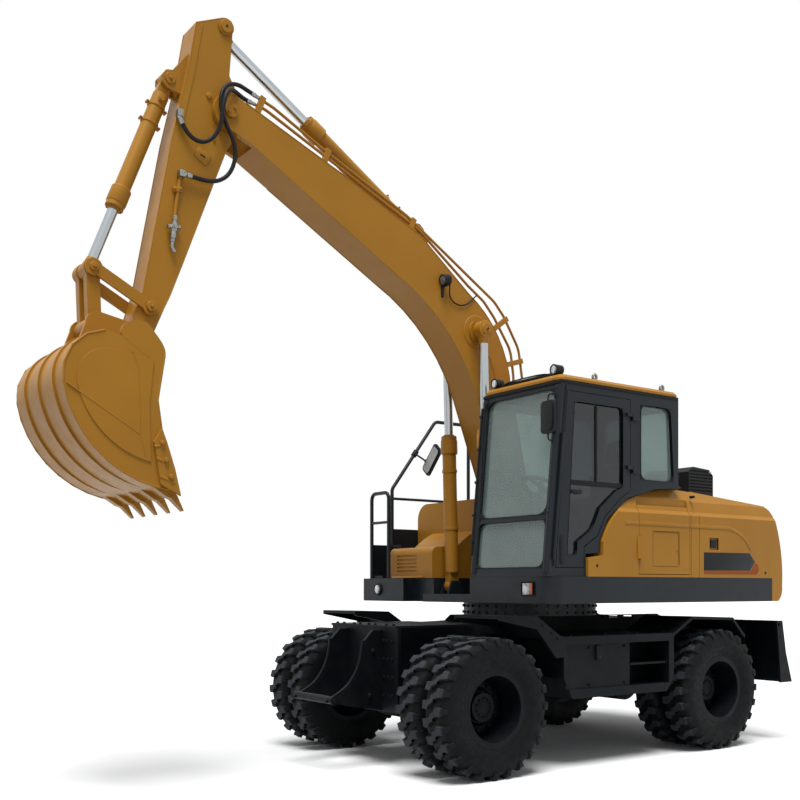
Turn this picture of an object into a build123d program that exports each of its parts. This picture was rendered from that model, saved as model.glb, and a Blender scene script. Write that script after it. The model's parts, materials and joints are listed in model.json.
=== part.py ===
from build123d import *
import os
from math import atan2, cos, degrees, hypot, radians, sin, sqrt, tan

# Wheeled excavator, millimetres. X runs forward from the slewing centre, Y to the left (cab) side
# and Z up from the ground. The finished pieces are moved along X so that the origin lies under
# the middle of the whole machine.

# ---------------------------------------------------------------- driving sizes: running gear
overall_width = 2490
tyre_radius = 515
tyre_width = 255
twin_gap = 65
rim_seat_radius = 254
rim_flange_radius = 284
rim_wall = 13
front_axle_x = 1450
wheelbase = 2545
kingpin_y = 740
spindle_radius = 62
hub_radius = 118
frame_half_width = 400
frame_bottom_z = 500
frame_axle_z = 705
frame_front_x = 1780
frame_rear_x = -1750
front_plate_half_width = 465

blade_pivot = (-1560, 560)
blade_arm_y = (250, 330)
blade_pin_radius = 28
blade_cyl_foot = (-1630, 940)
blade_cyl_pin = (-1880, 640)
blade_cyl_y = 170

# ---------------------------------------------------------------- driving sizes: upper structure
ring_radius = 586
ring_bottom_z = 1150
deck_bottom_z = 1268
deck_top_z = 1475
deck_front_x = 950
deck_rear_x = -1800
counterweight_rear_x = -2150
hood_seam_x = -786
hood_top_z = 2190
cab_right_y = 325
cab_left_y = 1225
cab_rear_x = -600
cab_roof_z = 2965
cab_wall = 45

# ---------------------------------------------------------------- driving sizes: working gear
# Pin centres (x, z) with the boom raised and the arm hanging.
boom_foot = (150, 1800)
boom_cyl_foot = (686, 1406)
boom_cyl_pin = (745, 3540)
arm_pivot = (3020, 4790)
arm_cyl_foot = (1300, 4300)
arm_cyl_pin = (3040, 5400)
bucket_cyl_foot = (3440, 4940)
guide_pin = (3610, 3305)
link_pin = (4004, 3509)
bucket_link_pin = (3990, 3130)
bucket_pin = (3690, 3075)
boom_half_width = 157
arm_half_width = 112
bucket_half_width = 500

# ---------------------------------------------------------------- fits
running = 0.4            # radial clearance of a pin in its hole, and of a rod in its barrel
face_gap = 0.3           # between faces that slide on each other
side_gap = 5             # between moving plates that lie side by side

outer_tyre_y = overall_width / 2 - tyre_width / 2
inner_tyre_y = outer_tyre_y - tyre_width - twin_gap
rear_axle_x = front_axle_x - wheelbase
half_width = overall_width / 2

bucket_back_x = 4335
machine_middle_x = (bucket_back_x + counterweight_rear_x) / 2

os.makedirs("parts", exist_ok=True)


def save(builder, label):
    """Move a finished piece to the machine's own origin, name it and write it."""
    piece = builder.part.moved(Location((-machine_middle_x, 0, 0)))
    piece.label = label
    export_step(piece, f"parts/{label}.step")


# ---------------------------------------------------------------- small shape helpers
def side_plane(y):
    """The plane at this y whose local x and y are the machine's X and Z."""
    return Plane.XZ.offset(-y)


def block(x, y, z, mode=Mode.ADD):
    """A box between pairs of limits."""
    with Locations(((x[0] + x[1]) / 2, (y[0] + y[1]) / 2, (z[0] + z[1]) / 2)):
        Box(x[1] - x[0], y[1] - y[0], z[1] - z[0], mode=mode)


def side_plate(points, y0, y1, mode=Mode.ADD):
    """A plate with this (x, z) outline, from y0 to y1."""
    with BuildSketch(side_plane(y1)) as outline:
        with BuildLine():
            Polyline(*points, close=True)
        make_face()
    extrude(outline.sketch, amount=y1 - y0, mode=mode)


def cylinder_on(centre, radius, zs, mode=Mode.ADD):
    """An upright cylinder at (x, y) between two heights."""
    with BuildSketch(Plane.XY.offset(zs[0])) as outline:
        with Locations(centre):
            Circle(radius)
    extrude(outline.sketch, amount=zs[1] - zs[0], mode=mode)


def pane(points, y0, y1):
    """A glass pane that fits the opening with this (x, z) outline."""
    with BuildSketch(side_plane(y1)) as outline:
        with BuildLine():
            Polyline(*points, close=True)
        make_face()
        offset(amount=-face_gap, kind=Kind.INTERSECTION)
    extrude(outline.sketch, amount=y1 - y0)


def tube(points, bend, radius):
    """A bent round tube through these points."""
    with BuildLine() as path:
        FilletPolyline(*points, radius=bend)
    with BuildSketch(Plane(origin=path.line @ 0, z_dir=path.line % 0)) as ring:
        Circle(radius)
    sweep(ring.sketch, path=path.line)


def eased_tube(points, radius, widest_bend):
    """A round tube through these points, with each bend as wide as its runs allow."""
    stops = [Vector(*point) for point in points]
    bends = []
    for before, corner, after in zip(stops, stops[1:], stops[2:]):
        half_turn = radians((corner - before).get_angle(after - corner)) / 2
        shorter = min((corner - before).length, (after - corner).length)
        bends.append(min(widest_bend, 0.45 * shorter / tan(half_turn)))
    tube(points, bends, radius)
    return bends


def cross_pin(centre, radius, y0, y1, mode=Mode.ADD):
    """A round bar along Y at this (x, z)."""
    with BuildSketch(side_plane(y1)) as outline:
        with Locations(centre):
            Circle(radius)
    extrude(outline.sketch, amount=y1 - y0, mode=mode)


def bar(start, end, radius, mode=Mode.ADD):
    """A round bar between two points."""
    run = Vector(*end) - Vector(*start)
    with BuildSketch(Plane(origin=start, z_dir=run)) as outline:
        Circle(radius)
    extrude(outline.sketch, amount=run.length, mode=mode)


def cross_x(y, z, xs, radius):
    """A round bar along X at this (y, z)."""
    bar((xs[0], y, z), (xs[1], y, z), radius)


def both_sides(y0, y1):
    """The two spans of y, one each side of the middle."""
    return ((y0, y1), (-y1, -y0))


def between(start, end, along, across=0):
    """A point this far along the line from start to end, and this far to its left."""
    length = hypot(end[0] - start[0], end[1] - start[1])
    ux, uz = (end[0] - start[0]) / length, (end[1] - start[1]) / length
    return (start[0] + ux * along - uz * across, start[1] + uz * along + ux * across)


# ---------------------------------------------------------------- chassis
rail_slots = (-470, -660, -850)
with BuildPart() as chassis_frame:
    side_plate([(frame_rear_x, frame_axle_z), (frame_rear_x, 1000), (-1300, 1100), (-600, 1100),
                (-585, 1150), (585, 1150), (650, 1100), (1000, 1090), (frame_front_x - 30, 1080),
                (frame_front_x - 30, frame_axle_z), (1150, frame_axle_z), (820, frame_bottom_z),
                (-700, frame_bottom_z), (-850, frame_axle_z)],
               -frame_half_width, frame_half_width)
    block((frame_front_x - 30, frame_front_x),
          (-front_plate_half_width, front_plate_half_width), (430, 1080))
    block((1000, frame_front_x + 12), (-front_plate_half_width, front_plate_half_width),
          (1080, 1098))
    # Slotted rails along the top behind the ring.
    for y0, y1 in both_sides(frame_half_width - 18, frame_half_width):
        side_plate([(-330, 1090), (-330, 1148), (-1240, 1148), (-1450, 1075), (-1450, 1030),
                    (-1300, 1030)], y0, y1)
        for slot_x in rail_slots:
            block((slot_x - 62, slot_x + 62), (y0, y1), (1118, 1140), Mode.SUBTRACT)
    # Two slots at the back for the blade cylinders, with a pin across each.
    for y0, y1 in both_sides(blade_cyl_y - 52, blade_cyl_y + 52):
        block((frame_rear_x, blade_cyl_foot[0] + 75), (y0, y1), (frame_axle_z, 1100), Mode.SUBTRACT)
        cross_pin(blade_cyl_foot, blade_pin_radius, y0, y1)
    # Ears under the frame that carry the blade arms.
    for ear0, ear1 in ((blade_arm_y[0] - 38, blade_arm_y[0] - side_gap),
                       (blade_arm_y[1] + side_gap, blade_arm_y[1] + 38)):
        for y0, y1 in both_sides(ear0, ear1):
            side_plate([(blade_pivot[0] - 60, 500), (blade_pivot[0] + 60, 500),
                        (blade_pivot[0] + 110, frame_axle_z), (blade_pivot[0] - 110, frame_axle_z)],
                       y0, y1)
    for y0, y1 in both_sides(blade_arm_y[0] - 38, blade_arm_y[1] + 38):
        cross_pin(blade_pivot, blade_pin_radius, y0, y1)
save(chassis_frame, "chassis_frame")

with BuildPart() as front_bracket:
    for y0, y1 in both_sides(222, 250):
        with BuildSketch(side_plane(y1)):
            with BuildLine():
                Polyline((2285, 530), (1970, 470), (frame_front_x, 440), (frame_front_x, 1060),
                         (1860, 1060), (1940, 980))
                ThreePointArc((1940, 980), (2035, 690), (2285, 530))
            make_face()
        extrude(amount=y1 - y0)
    cross_pin((2240, 545), 30, -290, 290)
save(front_bracket, "front_bracket")

with BuildPart() as slew_ring:
    with BuildSketch(Plane.XY.offset(ring_bottom_z)):
        Circle(ring_radius)
        Circle(ring_radius - 110, mode=Mode.SUBTRACT)
    extrude(amount=deck_bottom_z - ring_bottom_z - face_gap)
save(slew_ring, "slew_ring")

arm_reach = 130
arm_inset = 40
rod_z = tyre_radius - 100
arm_bottom_z = rod_z + 30

# Axles: a tube with the differential in the middle. The front one ends in forks for the knuckles.
fork_gap = 110
kingpin_radius = 26
fork_wall = 42
with BuildPart() as front_axle:
    cross_pin((front_axle_x, tyre_radius), 85, -600, 600)
    cross_pin((front_axle_x, tyre_radius), 170, -130, 130)
    block((front_axle_x - 130, front_axle_x + 130), (-70, 70), (tyre_radius, frame_axle_z))
    for y0, y1 in both_sides(570, 640):
        block((front_axle_x - 60, front_axle_x + 60), (y0, y1),
              (tyre_radius - fork_gap - fork_wall, tyre_radius + fork_gap + fork_wall))
    for y0, y1 in both_sides(600, 800):
        for z0 in (tyre_radius + fork_gap, tyre_radius - fork_gap - fork_wall):
            block((front_axle_x - 55, front_axle_x + 55), (y0, y1), (z0, z0 + fork_wall))
    block((front_axle_x - arm_reach, front_axle_x), (-150, 150), (rod_z, rod_z + 55))
    cross_pin((front_axle_x - arm_reach, rod_z), 42, -210, 210)
    cross_pin((front_axle_x - arm_reach, rod_z), 22 + running, -210, 210, Mode.SUBTRACT)
    for hand in (1, -1):
        with BuildSketch(Plane.XY.offset(tyre_radius - fork_gap - fork_wall)):
            with Locations((front_axle_x, hand * kingpin_y)):
                Circle(kingpin_radius + running)
        extrude(amount=2 * (fork_gap + fork_wall), mode=Mode.SUBTRACT)
save(front_axle, "front_axle")

with BuildPart() as rear_axle:
    cross_pin((rear_axle_x, tyre_radius), 95, -700, 700)
    cross_pin((rear_axle_x, tyre_radius), 185, -140, 140)
    cross_pin((rear_axle_x, tyre_radius), spindle_radius, -1000, 1000)
    for y0, y1 in both_sides(250, 380):
        block((rear_axle_x - 110, rear_axle_x + 110), (y0, y1), (tyre_radius, frame_axle_z))
save(rear_axle, "rear_axle")

with BuildPart() as drive_shafts:
    block((-150, 330), (-170, 170), (270, frame_bottom_z))
    bar((330, 0, 380), (front_axle_x - 180, 0, 530), 38)
    bar((-150, 0, 380), (rear_axle_x + 195, 0, 470), 38)
save(drive_shafts, "drive_shafts")

# Steering: knuckles between the forks, and one rod that pushes both steering arms.
for side, tag in ((1, "left"), (-1, "right")):
    with BuildPart() as knuckle:
        with BuildSketch(Plane.XY.offset(tyre_radius - fork_gap + face_gap)):
            with Locations((front_axle_x, side * kingpin_y)):
                Rectangle(104, 104)
        extrude(amount=2 * (fork_gap - face_gap))
        cylinder_on((front_axle_x, side * kingpin_y), kingpin_radius,
                    (tyre_radius - fork_gap - fork_wall, tyre_radius + fork_gap + fork_wall))
        y0, y1 = sorted((side * kingpin_y, side * 1000))
        cross_pin((front_axle_x, tyre_radius), spindle_radius, y0, y1)
        with BuildSketch(Plane.XY.offset(arm_bottom_z)):
            with BuildLine():
                Polyline((front_axle_x - 40, side * (kingpin_y - 45)),
                         (front_axle_x - 40, side * (kingpin_y + 45)),
                         (front_axle_x - arm_reach - 25, side * (kingpin_y - arm_inset + 28)),
                         (front_axle_x - arm_reach - 25, side * (kingpin_y - arm_inset - 28)),
                         close=True)
            make_face()
        extrude(amount=28)
    save(knuckle, f"knuckle_{tag}")

with BuildPart() as steering_rod:
    cross_pin((front_axle_x - arm_reach, rod_z), 22, -(kingpin_y - arm_inset), kingpin_y - arm_inset)
    for side in (1, -1):
        with BuildSketch(Plane.XY.offset(rod_z - 22)):
            with Locations((front_axle_x - arm_reach, side * (kingpin_y - arm_inset))):
                Circle(26)
        extrude(amount=arm_bottom_z - face_gap - rod_z + 22)
save(steering_rod, "steering_rod")

# ---------------------------------------------------------------- wheels: twin tyres on one hub
bead_width = 190
flange_wall = 8
lug_count = 24            # on each half of a tyre; the halves are set half a pitch apart
lug_height = 25
shoulder_taper = 13       # degrees
sidewall_radius = 385
bead_depth = (tyre_width - bead_width) / 2 + face_gap
sidewall_slope = degrees(atan2(sidewall_radius - rim_flange_radius - 2, bead_depth))
seat_sides = 14


def lug_outline(first_lug):
    """The toothed outline of one half of a tyre, as flat facets round the origin."""
    pitch = 180 / lug_count
    corners = []
    for step in range(2 * lug_count):
        radius = tyre_radius if step % 2 == first_lug else tyre_radius - lug_height
        for angle in (radians(step * pitch - 90), radians((step + 1) * pitch - 90)):
            corners.append((radius * cos(angle), radius * sin(angle)))
    return corners


# One tyre about the origin.
with BuildPart() as one_tyre:
    for hand, first_lug in ((1, 0), (-1, 1)):
        with BuildSketch(Plane(origin=(0, 0, 0), x_dir=(1, 0, 0), z_dir=(0, hand, 0))):
            with BuildLine():
                Polyline(*lug_outline(first_lug), close=True)
            make_face()
        extrude(amount=tyre_width / 2, taper=shoulder_taper)
    for hand in (1, -1):
        with BuildSketch(Plane(origin=(0, hand * tyre_width / 2, 0), x_dir=(1, 0, 0),
                               z_dir=(0, -hand, 0))):
            RegularPolygon(sidewall_radius, seat_sides, major_radius=False)
        extrude(amount=bead_depth, taper=sidewall_slope, mode=Mode.SUBTRACT)
    with BuildSketch(side_plane(tyre_width / 2)):
        RegularPolygon(rim_seat_radius + face_gap, seat_sides, major_radius=False)
    extrude(amount=tyre_width, mode=Mode.SUBTRACT)

# The rims of a pair about the middle between the tyres, dished towards +Y. Radii are measured
# from the wheel's axis.
tyre_pitch = outer_tyre_y - inner_tyre_y
rim_sections = [          # y0, y1, inner radius, outer radius
    (-(tyre_pitch + bead_width) / 2 - flange_wall, (tyre_pitch + bead_width) / 2 + flange_wall,
     rim_seat_radius - rim_wall, rim_seat_radius),
    (-14, 14, hub_radius - 10, rim_seat_radius - rim_wall + 2),
    (-95, 75, spindle_radius + running, hub_radius),
    (75, 120, 0, hub_radius - 12)]
for tyre_y in (tyre_pitch / 2, -tyre_pitch / 2):
    for edge in (tyre_y - bead_width / 2 - flange_wall, tyre_y + bead_width / 2):
        rim_sections.append((edge, edge + flange_wall, rim_seat_radius - 2, rim_flange_radius))
with BuildPart() as one_rim:
    with BuildSketch(Plane.YZ):
        for y0, y1, inner, outer in rim_sections:
            with BuildLine():
                Polyline((y0, inner), (y1, inner), (y1, outer), (y0, outer), close=True)
            make_face()
    revolve(axis=Axis.Y)

middle_tyre_y = (outer_tyre_y + inner_tyre_y) / 2
for corner_x, corner in ((front_axle_x, "front"), (rear_axle_x, "rear")):
    for side, tag, turn in ((1, "left", 0), (-1, "right", 180)):
        with BuildPart() as tyres:
            with Locations(Location((corner_x, side * outer_tyre_y, tyre_radius), (0, 0, turn)),
                           Location((corner_x, side * inner_tyre_y, tyre_radius),
                                    (0, 0, 180 - turn))):
                add(one_tyre.part)
        save(tyres, f"tyres_{corner}_{tag}")
        with BuildPart() as rims:
            with Locations(Location((corner_x, side * middle_tyre_y, tyre_radius), (0, 0, turn))):
                add(one_rim.part)
        save(rims, f"rims_{corner}_{tag}")

# ---------------------------------------------------------------- side boxes and fenders
box_front_x = 772
box_rear_x = -490
box_bottom_z = 540
box_top_z = 1015
step_outer_y = 1220
box_panel_y = 1196        # the face of the tool box's panel, behind the frame
with BuildPart() as side_boxes:
    for y0, y1 in both_sides(frame_half_width, step_outer_y):
        outer_y, inward = (y1, -1) if y1 > 0 else (y0, 1)
        side_plate([(box_front_x, 700), (box_front_x, box_top_z), (box_rear_x, box_top_z),
                    (box_rear_x, 640), (box_rear_x + 90, box_bottom_z),
                    (box_front_x - 90, box_bottom_z)], y0, y1)
        # The panel stands back from the frame, and the steps go in behind it.
        for x0, x1, depth in ((20, box_front_x - 32, step_outer_y - box_panel_y),
                              (box_rear_x + 60, 20, 260)):
            block((x0, x1), sorted((outer_y, outer_y + inward * depth)),
                  (box_bottom_z + 70, box_top_z - 62), Mode.SUBTRACT)
        block((box_rear_x + 60, 20), sorted((outer_y + inward * 20, outer_y + inward * 261)),
              (box_bottom_z + 230, box_bottom_z + 245))
        block((350, 410), sorted((outer_y + inward * 8, outer_y + inward * 25)),
              (box_top_z - 190, box_top_z - 75))
save(side_boxes, "side_boxes")

fender_wall = 22
with BuildPart() as front_fenders:
    for y0, y1 in both_sides(690, step_outer_y):
        side_plate([(1410, 1186), (1050, 1178), (814, 1028), (box_front_x, box_top_z),
                    (box_front_x, 1000), (830, 1000), (1056, 1150), (1410, 1160)], y0, y1)
        for p0, p1 in ((y0, y0 + fender_wall), (y1 - fender_wall, y1)):
            with BuildSketch(side_plane(p1)):
                with BuildLine():
                    Polyline((1050, 1178), (814, 1028), (box_front_x, box_top_z),
                             (box_front_x, 860))
                    Polyline((box_front_x, 860), (850, 860), (1050, 1080), (1410, 1150),
                             (1410, 1186), (1050, 1178))
                make_face()
            extrude(amount=p1 - p0)
save(front_fenders, "front_fenders")

with BuildPart() as rear_fenders:
    for y0, y1 in both_sides(690, step_outer_y):
        side_plate([(box_rear_x, 1015), (-728, 1147), (-1274, 1131), (-1449, 967), (-1430, 950),
                    (-1266, 1108), (-734, 1124), (box_rear_x, 988)], y0, y1)
save(rear_fenders, "rear_fenders")

# ---------------------------------------------------------------- dozer blade
blade_rod_radius = 24
blade_end = 20
lashing_hole = (-1900, 1055)
lashing_radius = 15
with BuildPart() as blade:
    with BuildSketch(side_plane(half_width)):
        with BuildLine():
            Polyline((-1945, 1090), (-1925, 1090))
            ThreePointArc((-1925, 1090), (-1965, 800), (-1985, 560))
            Polyline((-1985, 560), (-2000, 530), (-2100, 530), (-2085, 560))
            ThreePointArc((-2085, 560), (-1995, 800), (-1945, 1090))
        make_face()
    extrude(amount=2 * half_width)
    for y0, y1 in both_sides(half_width - blade_end, half_width):
        side_plate([(-1870, 1090), (-1955, 1090), (-2010, 800), (-2100, 530), (-1930, 530),
                    (-1905, 800)], y0, y1)
        cross_pin(lashing_hole, lashing_radius, y0, y1, Mode.SUBTRACT)
    # Ribs up the back.
    for rib_y in (850, 560, -560, -850):
        side_plate([(-1935, 1040), (-1910, 1040), (-1940, 600), (-1990, 600)],
                   rib_y - 10, rib_y + 10)
    for y0, y1 in both_sides(*blade_arm_y):
        side_plate([(blade_pivot[0] + 50, 515), (blade_pivot[0] + 50, 610), (-1770, 665),
                    (-1980, 830), (-2010, 575), (-1900, 515)], y0, y1)
    for y0, y1 in both_sides(blade_cyl_y + 28, blade_arm_y[0]):
        side_plate([(-1850, 600), (-1850, 680), (-1985, 770), (-2010, 590)], y0, y1)
    for y0, y1 in both_sides(blade_cyl_y - 52, blade_cyl_y - 28):
        side_plate([(-1850, 600), (-1850, 680), (-1985, 770), (-2010, 590)], y0, y1)
    for y0, y1 in both_sides(blade_arm_y[0] - 1, blade_arm_y[1] + 1):
        cross_pin(blade_pivot, blade_pin_radius + running, y0, y1, Mode.SUBTRACT)
save(blade, "blade")

with BuildPart() as blade_barrels:
    for y0, y1 in both_sides(blade_cyl_y - 42, blade_cyl_y + 42):
        middle = (y0 + y1) / 2
        head = between(blade_cyl_foot, blade_cyl_pin, 300)
        cross_pin(blade_cyl_foot, 46, y0, y1)
        bar((blade_cyl_foot[0], middle, blade_cyl_foot[1]), (head[0], middle, head[1]), 42)
        bar((blade_cyl_foot[0], middle, blade_cyl_foot[1]), (head[0], middle, head[1]),
            blade_rod_radius + running, Mode.SUBTRACT)
        cross_pin(blade_cyl_foot, 46, y0, y1)
        cross_pin(blade_cyl_foot, blade_pin_radius + running, y0, y1, Mode.SUBTRACT)
save(blade_barrels, "blade_barrels")

with BuildPart() as blade_rods:
    for middle in (blade_cyl_y, -blade_cyl_y):
        tail = between(blade_cyl_foot, blade_cyl_pin, 80)
        bar((tail[0], middle, tail[1]), (blade_cyl_pin[0], middle, blade_cyl_pin[1]),
            blade_rod_radius)
        cross_pin(blade_cyl_pin, 36, middle - 24, middle + 24)
save(blade_rods, "blade_rods")

# ---------------------------------------------------------------- deck
headlamp_depth = 60
square_lamp = (955, 1085, 1325, 1435)     # y0, y1, z0, z1
round_lamp = (-1000, 1375, 56)            # y, z, radius
roof_lamp_ys = (430, 1120)
slot_half_width = 320
slot_rear_x = 420
deck_floor_z = 1335
cyl_pin_radius = 34
boom_cyl_y = 245
cyl_eye_half = 34
boom_pin_radius = 45
barrel_base = 120         # from the foot pin to the barrel's full round
with BuildPart() as deck:
    with BuildSketch(Plane.XY.offset(deck_bottom_z)):
        with BuildLine():
            Polyline((deck_front_x - 130, half_width), (deck_rear_x, half_width),
                     (deck_rear_x, -half_width), (deck_front_x, -half_width),
                     (deck_front_x, half_width - 130))
            RadiusArc((deck_front_x, half_width - 130), (deck_front_x - 130, half_width), -130)
        make_face()
    extrude(amount=deck_top_z - deck_bottom_z)
    block((slot_rear_x, deck_front_x), (-slot_half_width, slot_half_width),
          (deck_floor_z, deck_top_z), Mode.SUBTRACT)
    block((deck_front_x - 120, deck_front_x), (-610, -slot_half_width + 1),
          (deck_bottom_z, deck_top_z), Mode.SUBTRACT)
    block((deck_front_x - headlamp_depth, deck_front_x + 1), square_lamp[:2], square_lamp[2:],
          Mode.SUBTRACT)
    bar((deck_front_x - headlamp_depth, round_lamp[0], round_lamp[1]),
        (deck_front_x + 1, round_lamp[0], round_lamp[1]), round_lamp[2], Mode.SUBTRACT)
    # Ears for the boom foot, and for the feet of the two boom cylinders.
    for y0, y1 in both_sides(boom_half_width + side_gap, boom_half_width + side_gap + 34):
        side_plate([(-330, deck_top_z - 1), (410, deck_top_z - 1), (235, 1880),
                    (170, 1915), (90, 1905)], y0, y1)
    cross_pin(boom_foot, boom_pin_radius, -(boom_half_width + side_gap), boom_half_width + side_gap)
    for eye_y in (boom_cyl_y, -boom_cyl_y):
        for y0, y1 in ((eye_y - cyl_eye_half - side_gap - 20, eye_y - cyl_eye_half - side_gap),
                       (eye_y + cyl_eye_half + side_gap, eye_y + cyl_eye_half + side_gap + 20)):
            side_plate([(boom_cyl_foot[0] - 90, deck_floor_z), (boom_cyl_foot[0] + 90, deck_floor_z),
                        (boom_cyl_foot[0] + 45, boom_cyl_foot[1] + 45),
                        (boom_cyl_foot[0] - 45, boom_cyl_foot[1] + 45)], y0, y1)
        cross_pin(boom_cyl_foot, cyl_pin_radius, eye_y - cyl_eye_half - side_gap,
                  eye_y + cyl_eye_half + side_gap)
save(deck, "deck")

# ---------------------------------------------------------------- counterweight and hoods
hood_wall = 25
hood_panel_y = 1135
bay_front_x = -645
bay_rear_x = -1740
lid_thickness = 25
lid_front = (bay_front_x + hood_wall, 2190)
lid_rear = (bay_rear_x + 4, 2105)
side_section = [          # y, z of the side from the deck to the top, creased at the belt line
    (half_width, deck_bottom_z - 5), (half_width, 1990), (half_width - 22, 2022),
    (half_width - 42, 2110), (half_width - 115, 2225)]


def creased_sides(x0, x1):
    """Keep what lies within the creased cross-section between two x."""
    points = side_section + [(-y, z) for y, z in reversed(side_section)]
    with BuildSketch(Plane.YZ.offset(x0)) as outline:
        with BuildLine():
            Polyline(*points, close=True)
        make_face()
    extrude(outline.sketch, amount=x1 - x0, mode=Mode.INTERSECT)


lid_hinge = (bay_rear_x - 24, 2144)
lid_hinge_ys = (-800, 800)
counterweight_sections = [        # y, how far its back lies from the rearmost point
    (-half_width, 200), (-half_width + 60, 165), (-half_width + 170, 145), (-600, 45), (0, 0),
    (600, 45), (half_width - 170, 145), (half_width - 60, 165), (half_width, 200)]
with BuildPart() as counterweight:
    sections = []
    for section_y, setback in counterweight_sections:
        back = counterweight_rear_x + setback
        shoulder_x = min(back + 235, bay_rear_x - 10)
        with BuildSketch(side_plane(section_y)) as section:
            with BuildLine():
                Polyline((bay_rear_x - face_gap, deck_top_z), (bay_rear_x - face_gap, 2120),
                         (shoulder_x, 2108))
                ThreePointArc((shoulder_x, 2108), (back + 150, 2068), (back + 100, 1985))
                ThreePointArc((back + 100, 1985), (back + 18, 1720), (back, 1400))
                ThreePointArc((back, 1400), (back + 18, 1310), (back + 60, deck_bottom_z))
                Polyline((back + 60, deck_bottom_z), (deck_rear_x - face_gap, deck_bottom_z),
                         (deck_rear_x - face_gap, deck_top_z),
                         (bay_rear_x - face_gap, deck_top_z))
            make_face()
        sections.append(section.sketch.faces()[0])
    loft(sections, ruled=True)
    creased_sides(counterweight_rear_x, bay_rear_x)
    # Lugs for the lid's hinge.
    for lug_y in lid_hinge_ys:
        for y0 in (lug_y - 45, lug_y + 20):
            block((lid_hinge[0] - 16, lid_hinge[0] + 16), (y0, y0 + 25), (2085, lid_hinge[1]))
            cross_pin(lid_hinge, 16, y0, y0 + 25)
            cross_pin(lid_hinge, 8 + running, y0, y0 + 25, Mode.SUBTRACT)
save(counterweight, "counterweight")

service_door_x = (-660, -40)
service_hinge = (-36, 1245)
service_knuckle = 21
door_skin = 30
hood_curve = [(537, deck_top_z), (537, 1620), (372, 1640), (372, 1750)]


def hood_side(y0, y1):
    """The side panel's outline beside the cab, from y0 to y1."""
    with BuildSketch(side_plane(y1)) as outline:
        with BuildLine():
            Polyline((hood_seam_x, deck_top_z), *hood_curve)
            ThreePointArc(hood_curve[-1], (250, 1945), (65, 2087))
            ThreePointArc((65, 2087), (-260, 2175), (-592, 2206))
            Polyline((-592, 2206), (hood_seam_x, 2200), (hood_seam_x, deck_top_z))
        make_face()
    extrude(outline.sketch, amount=y1 - y0)


with BuildPart() as hood:
    hood_side(hood_panel_y, half_width)
    block((service_door_x[0] - side_gap, service_door_x[1] + side_gap),
          (half_width - door_skin - 20, half_width), (deck_top_z + 20, 2300), Mode.SUBTRACT)
    # The two long walls of the engine bay, and the firewall behind the cab.
    for y0, y1, front_x in ((hood_panel_y, half_width, hood_seam_x),
                            (-half_width, -hood_panel_y, bay_front_x)):
        side_plate([(bay_rear_x, deck_top_z), (bay_rear_x, 2120), (front_x, 2204),
                    (front_x, deck_top_z)], y0, y1)
    block((bay_front_x, bay_front_x + hood_wall), (-half_width, hood_panel_y + 1),
          (deck_top_z, lid_front[1] - 5))
    creased_sides(bay_rear_x, 600)
    for groove_x in (hood_seam_x, hood_seam_x + 105):
        for y0, y1 in both_sides(half_width - 8, half_width):
            block((groove_x - 3, groove_x + 3), (y0, y1), (deck_top_z, 2010), Mode.SUBTRACT)
    # The latch's pocket, the door's hinge and its pin.
    block((-1040, -920), (half_width - 14, half_width), (1712, 1812), Mode.SUBTRACT)
    cylinder_on(service_hinge, service_knuckle + 4, (1658, 1762), Mode.SUBTRACT)
    for zs in ((1620, 1660 - face_gap), (1760 + face_gap, 1800)):
        cylinder_on(service_hinge, service_knuckle, zs)
    cylinder_on(service_hinge, 9, (1620, 1800))
save(hood, "hood")

with BuildPart() as service_door:
    hood_side(half_width - door_skin, half_width)
    block(service_door_x, (half_width - door_skin, half_width), (deck_top_z + 25, 2300),
          Mode.INTERSECT)
    creased_sides(service_door_x[0], service_door_x[1])
    block((-530, -200), (half_width - 5, half_width), (1560, 1850), Mode.SUBTRACT)
    for zs in ((1615, 1660), (1760, 1805)):
        cylinder_on(service_hinge, service_knuckle + 4, zs, Mode.SUBTRACT)
    cylinder_on(service_hinge, service_knuckle, (1660, 1760))
    cylinder_on(service_hinge, 9 + running, (1660, 1760), Mode.SUBTRACT)
save(service_door, "service_door")

with BuildPart() as hood_lid:
    side_plate([lid_front, (lid_front[0], lid_front[1] + lid_thickness),
                (lid_rear[0], lid_rear[1] + lid_thickness), lid_rear],
               -(hood_panel_y - side_gap), hood_panel_y - side_gap)
    for lug_y in lid_hinge_ys:
        y0, y1 = lug_y - 20 + face_gap, lug_y + 20 - face_gap
        side_plate([(lid_rear[0] + 20, lid_rear[1] + 20), (lid_rear[0] + 20, lid_hinge[1] + 4),
                    (lid_hinge[0], lid_hinge[1] + 14), (lid_hinge[0], lid_hinge[1] - 14)], y0, y1)
        cross_pin(lid_hinge, 16, y0, y1)
        cross_pin(lid_hinge, 8, lug_y - 45, lug_y + 45)
save(hood_lid, "hood_lid")



def lid_top_z(x):
    """The height of the lid's sloping top at this x."""
    slope = (lid_front[1] - lid_rear[1]) / (lid_front[0] - lid_rear[0])
    return lid_front[1] + lid_thickness + slope * (x - lid_front[0])


with BuildPart() as hood_grille:
    side_plate([(-940, 2150), (-1270, 2150), (-1270, 2380), (-1215, 2430), (-1000, 2445),
                (-940, 2400)], 500, 1010)
    for slat in range(7):
        z0 = 2235 + 28 * slat
        block((-1262, -948), (500, 512), (z0, z0 + 12), Mode.SUBTRACT)
        block((-1262, -948), (998, 1010), (z0, z0 + 12), Mode.SUBTRACT)
    side_plate([(x, lid_top_z(x) + drop) for x, drop in
                ((-930, -90), (-1280, -90), (-1280, face_gap), (-930, face_gap))],
               490, 1020, Mode.SUBTRACT)
save(hood_grille, "hood_grille")

with BuildPart() as engine:
    block((-1250, -700), (-700, 700), (deck_top_z, 2080))
save(engine, "engine")

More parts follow.
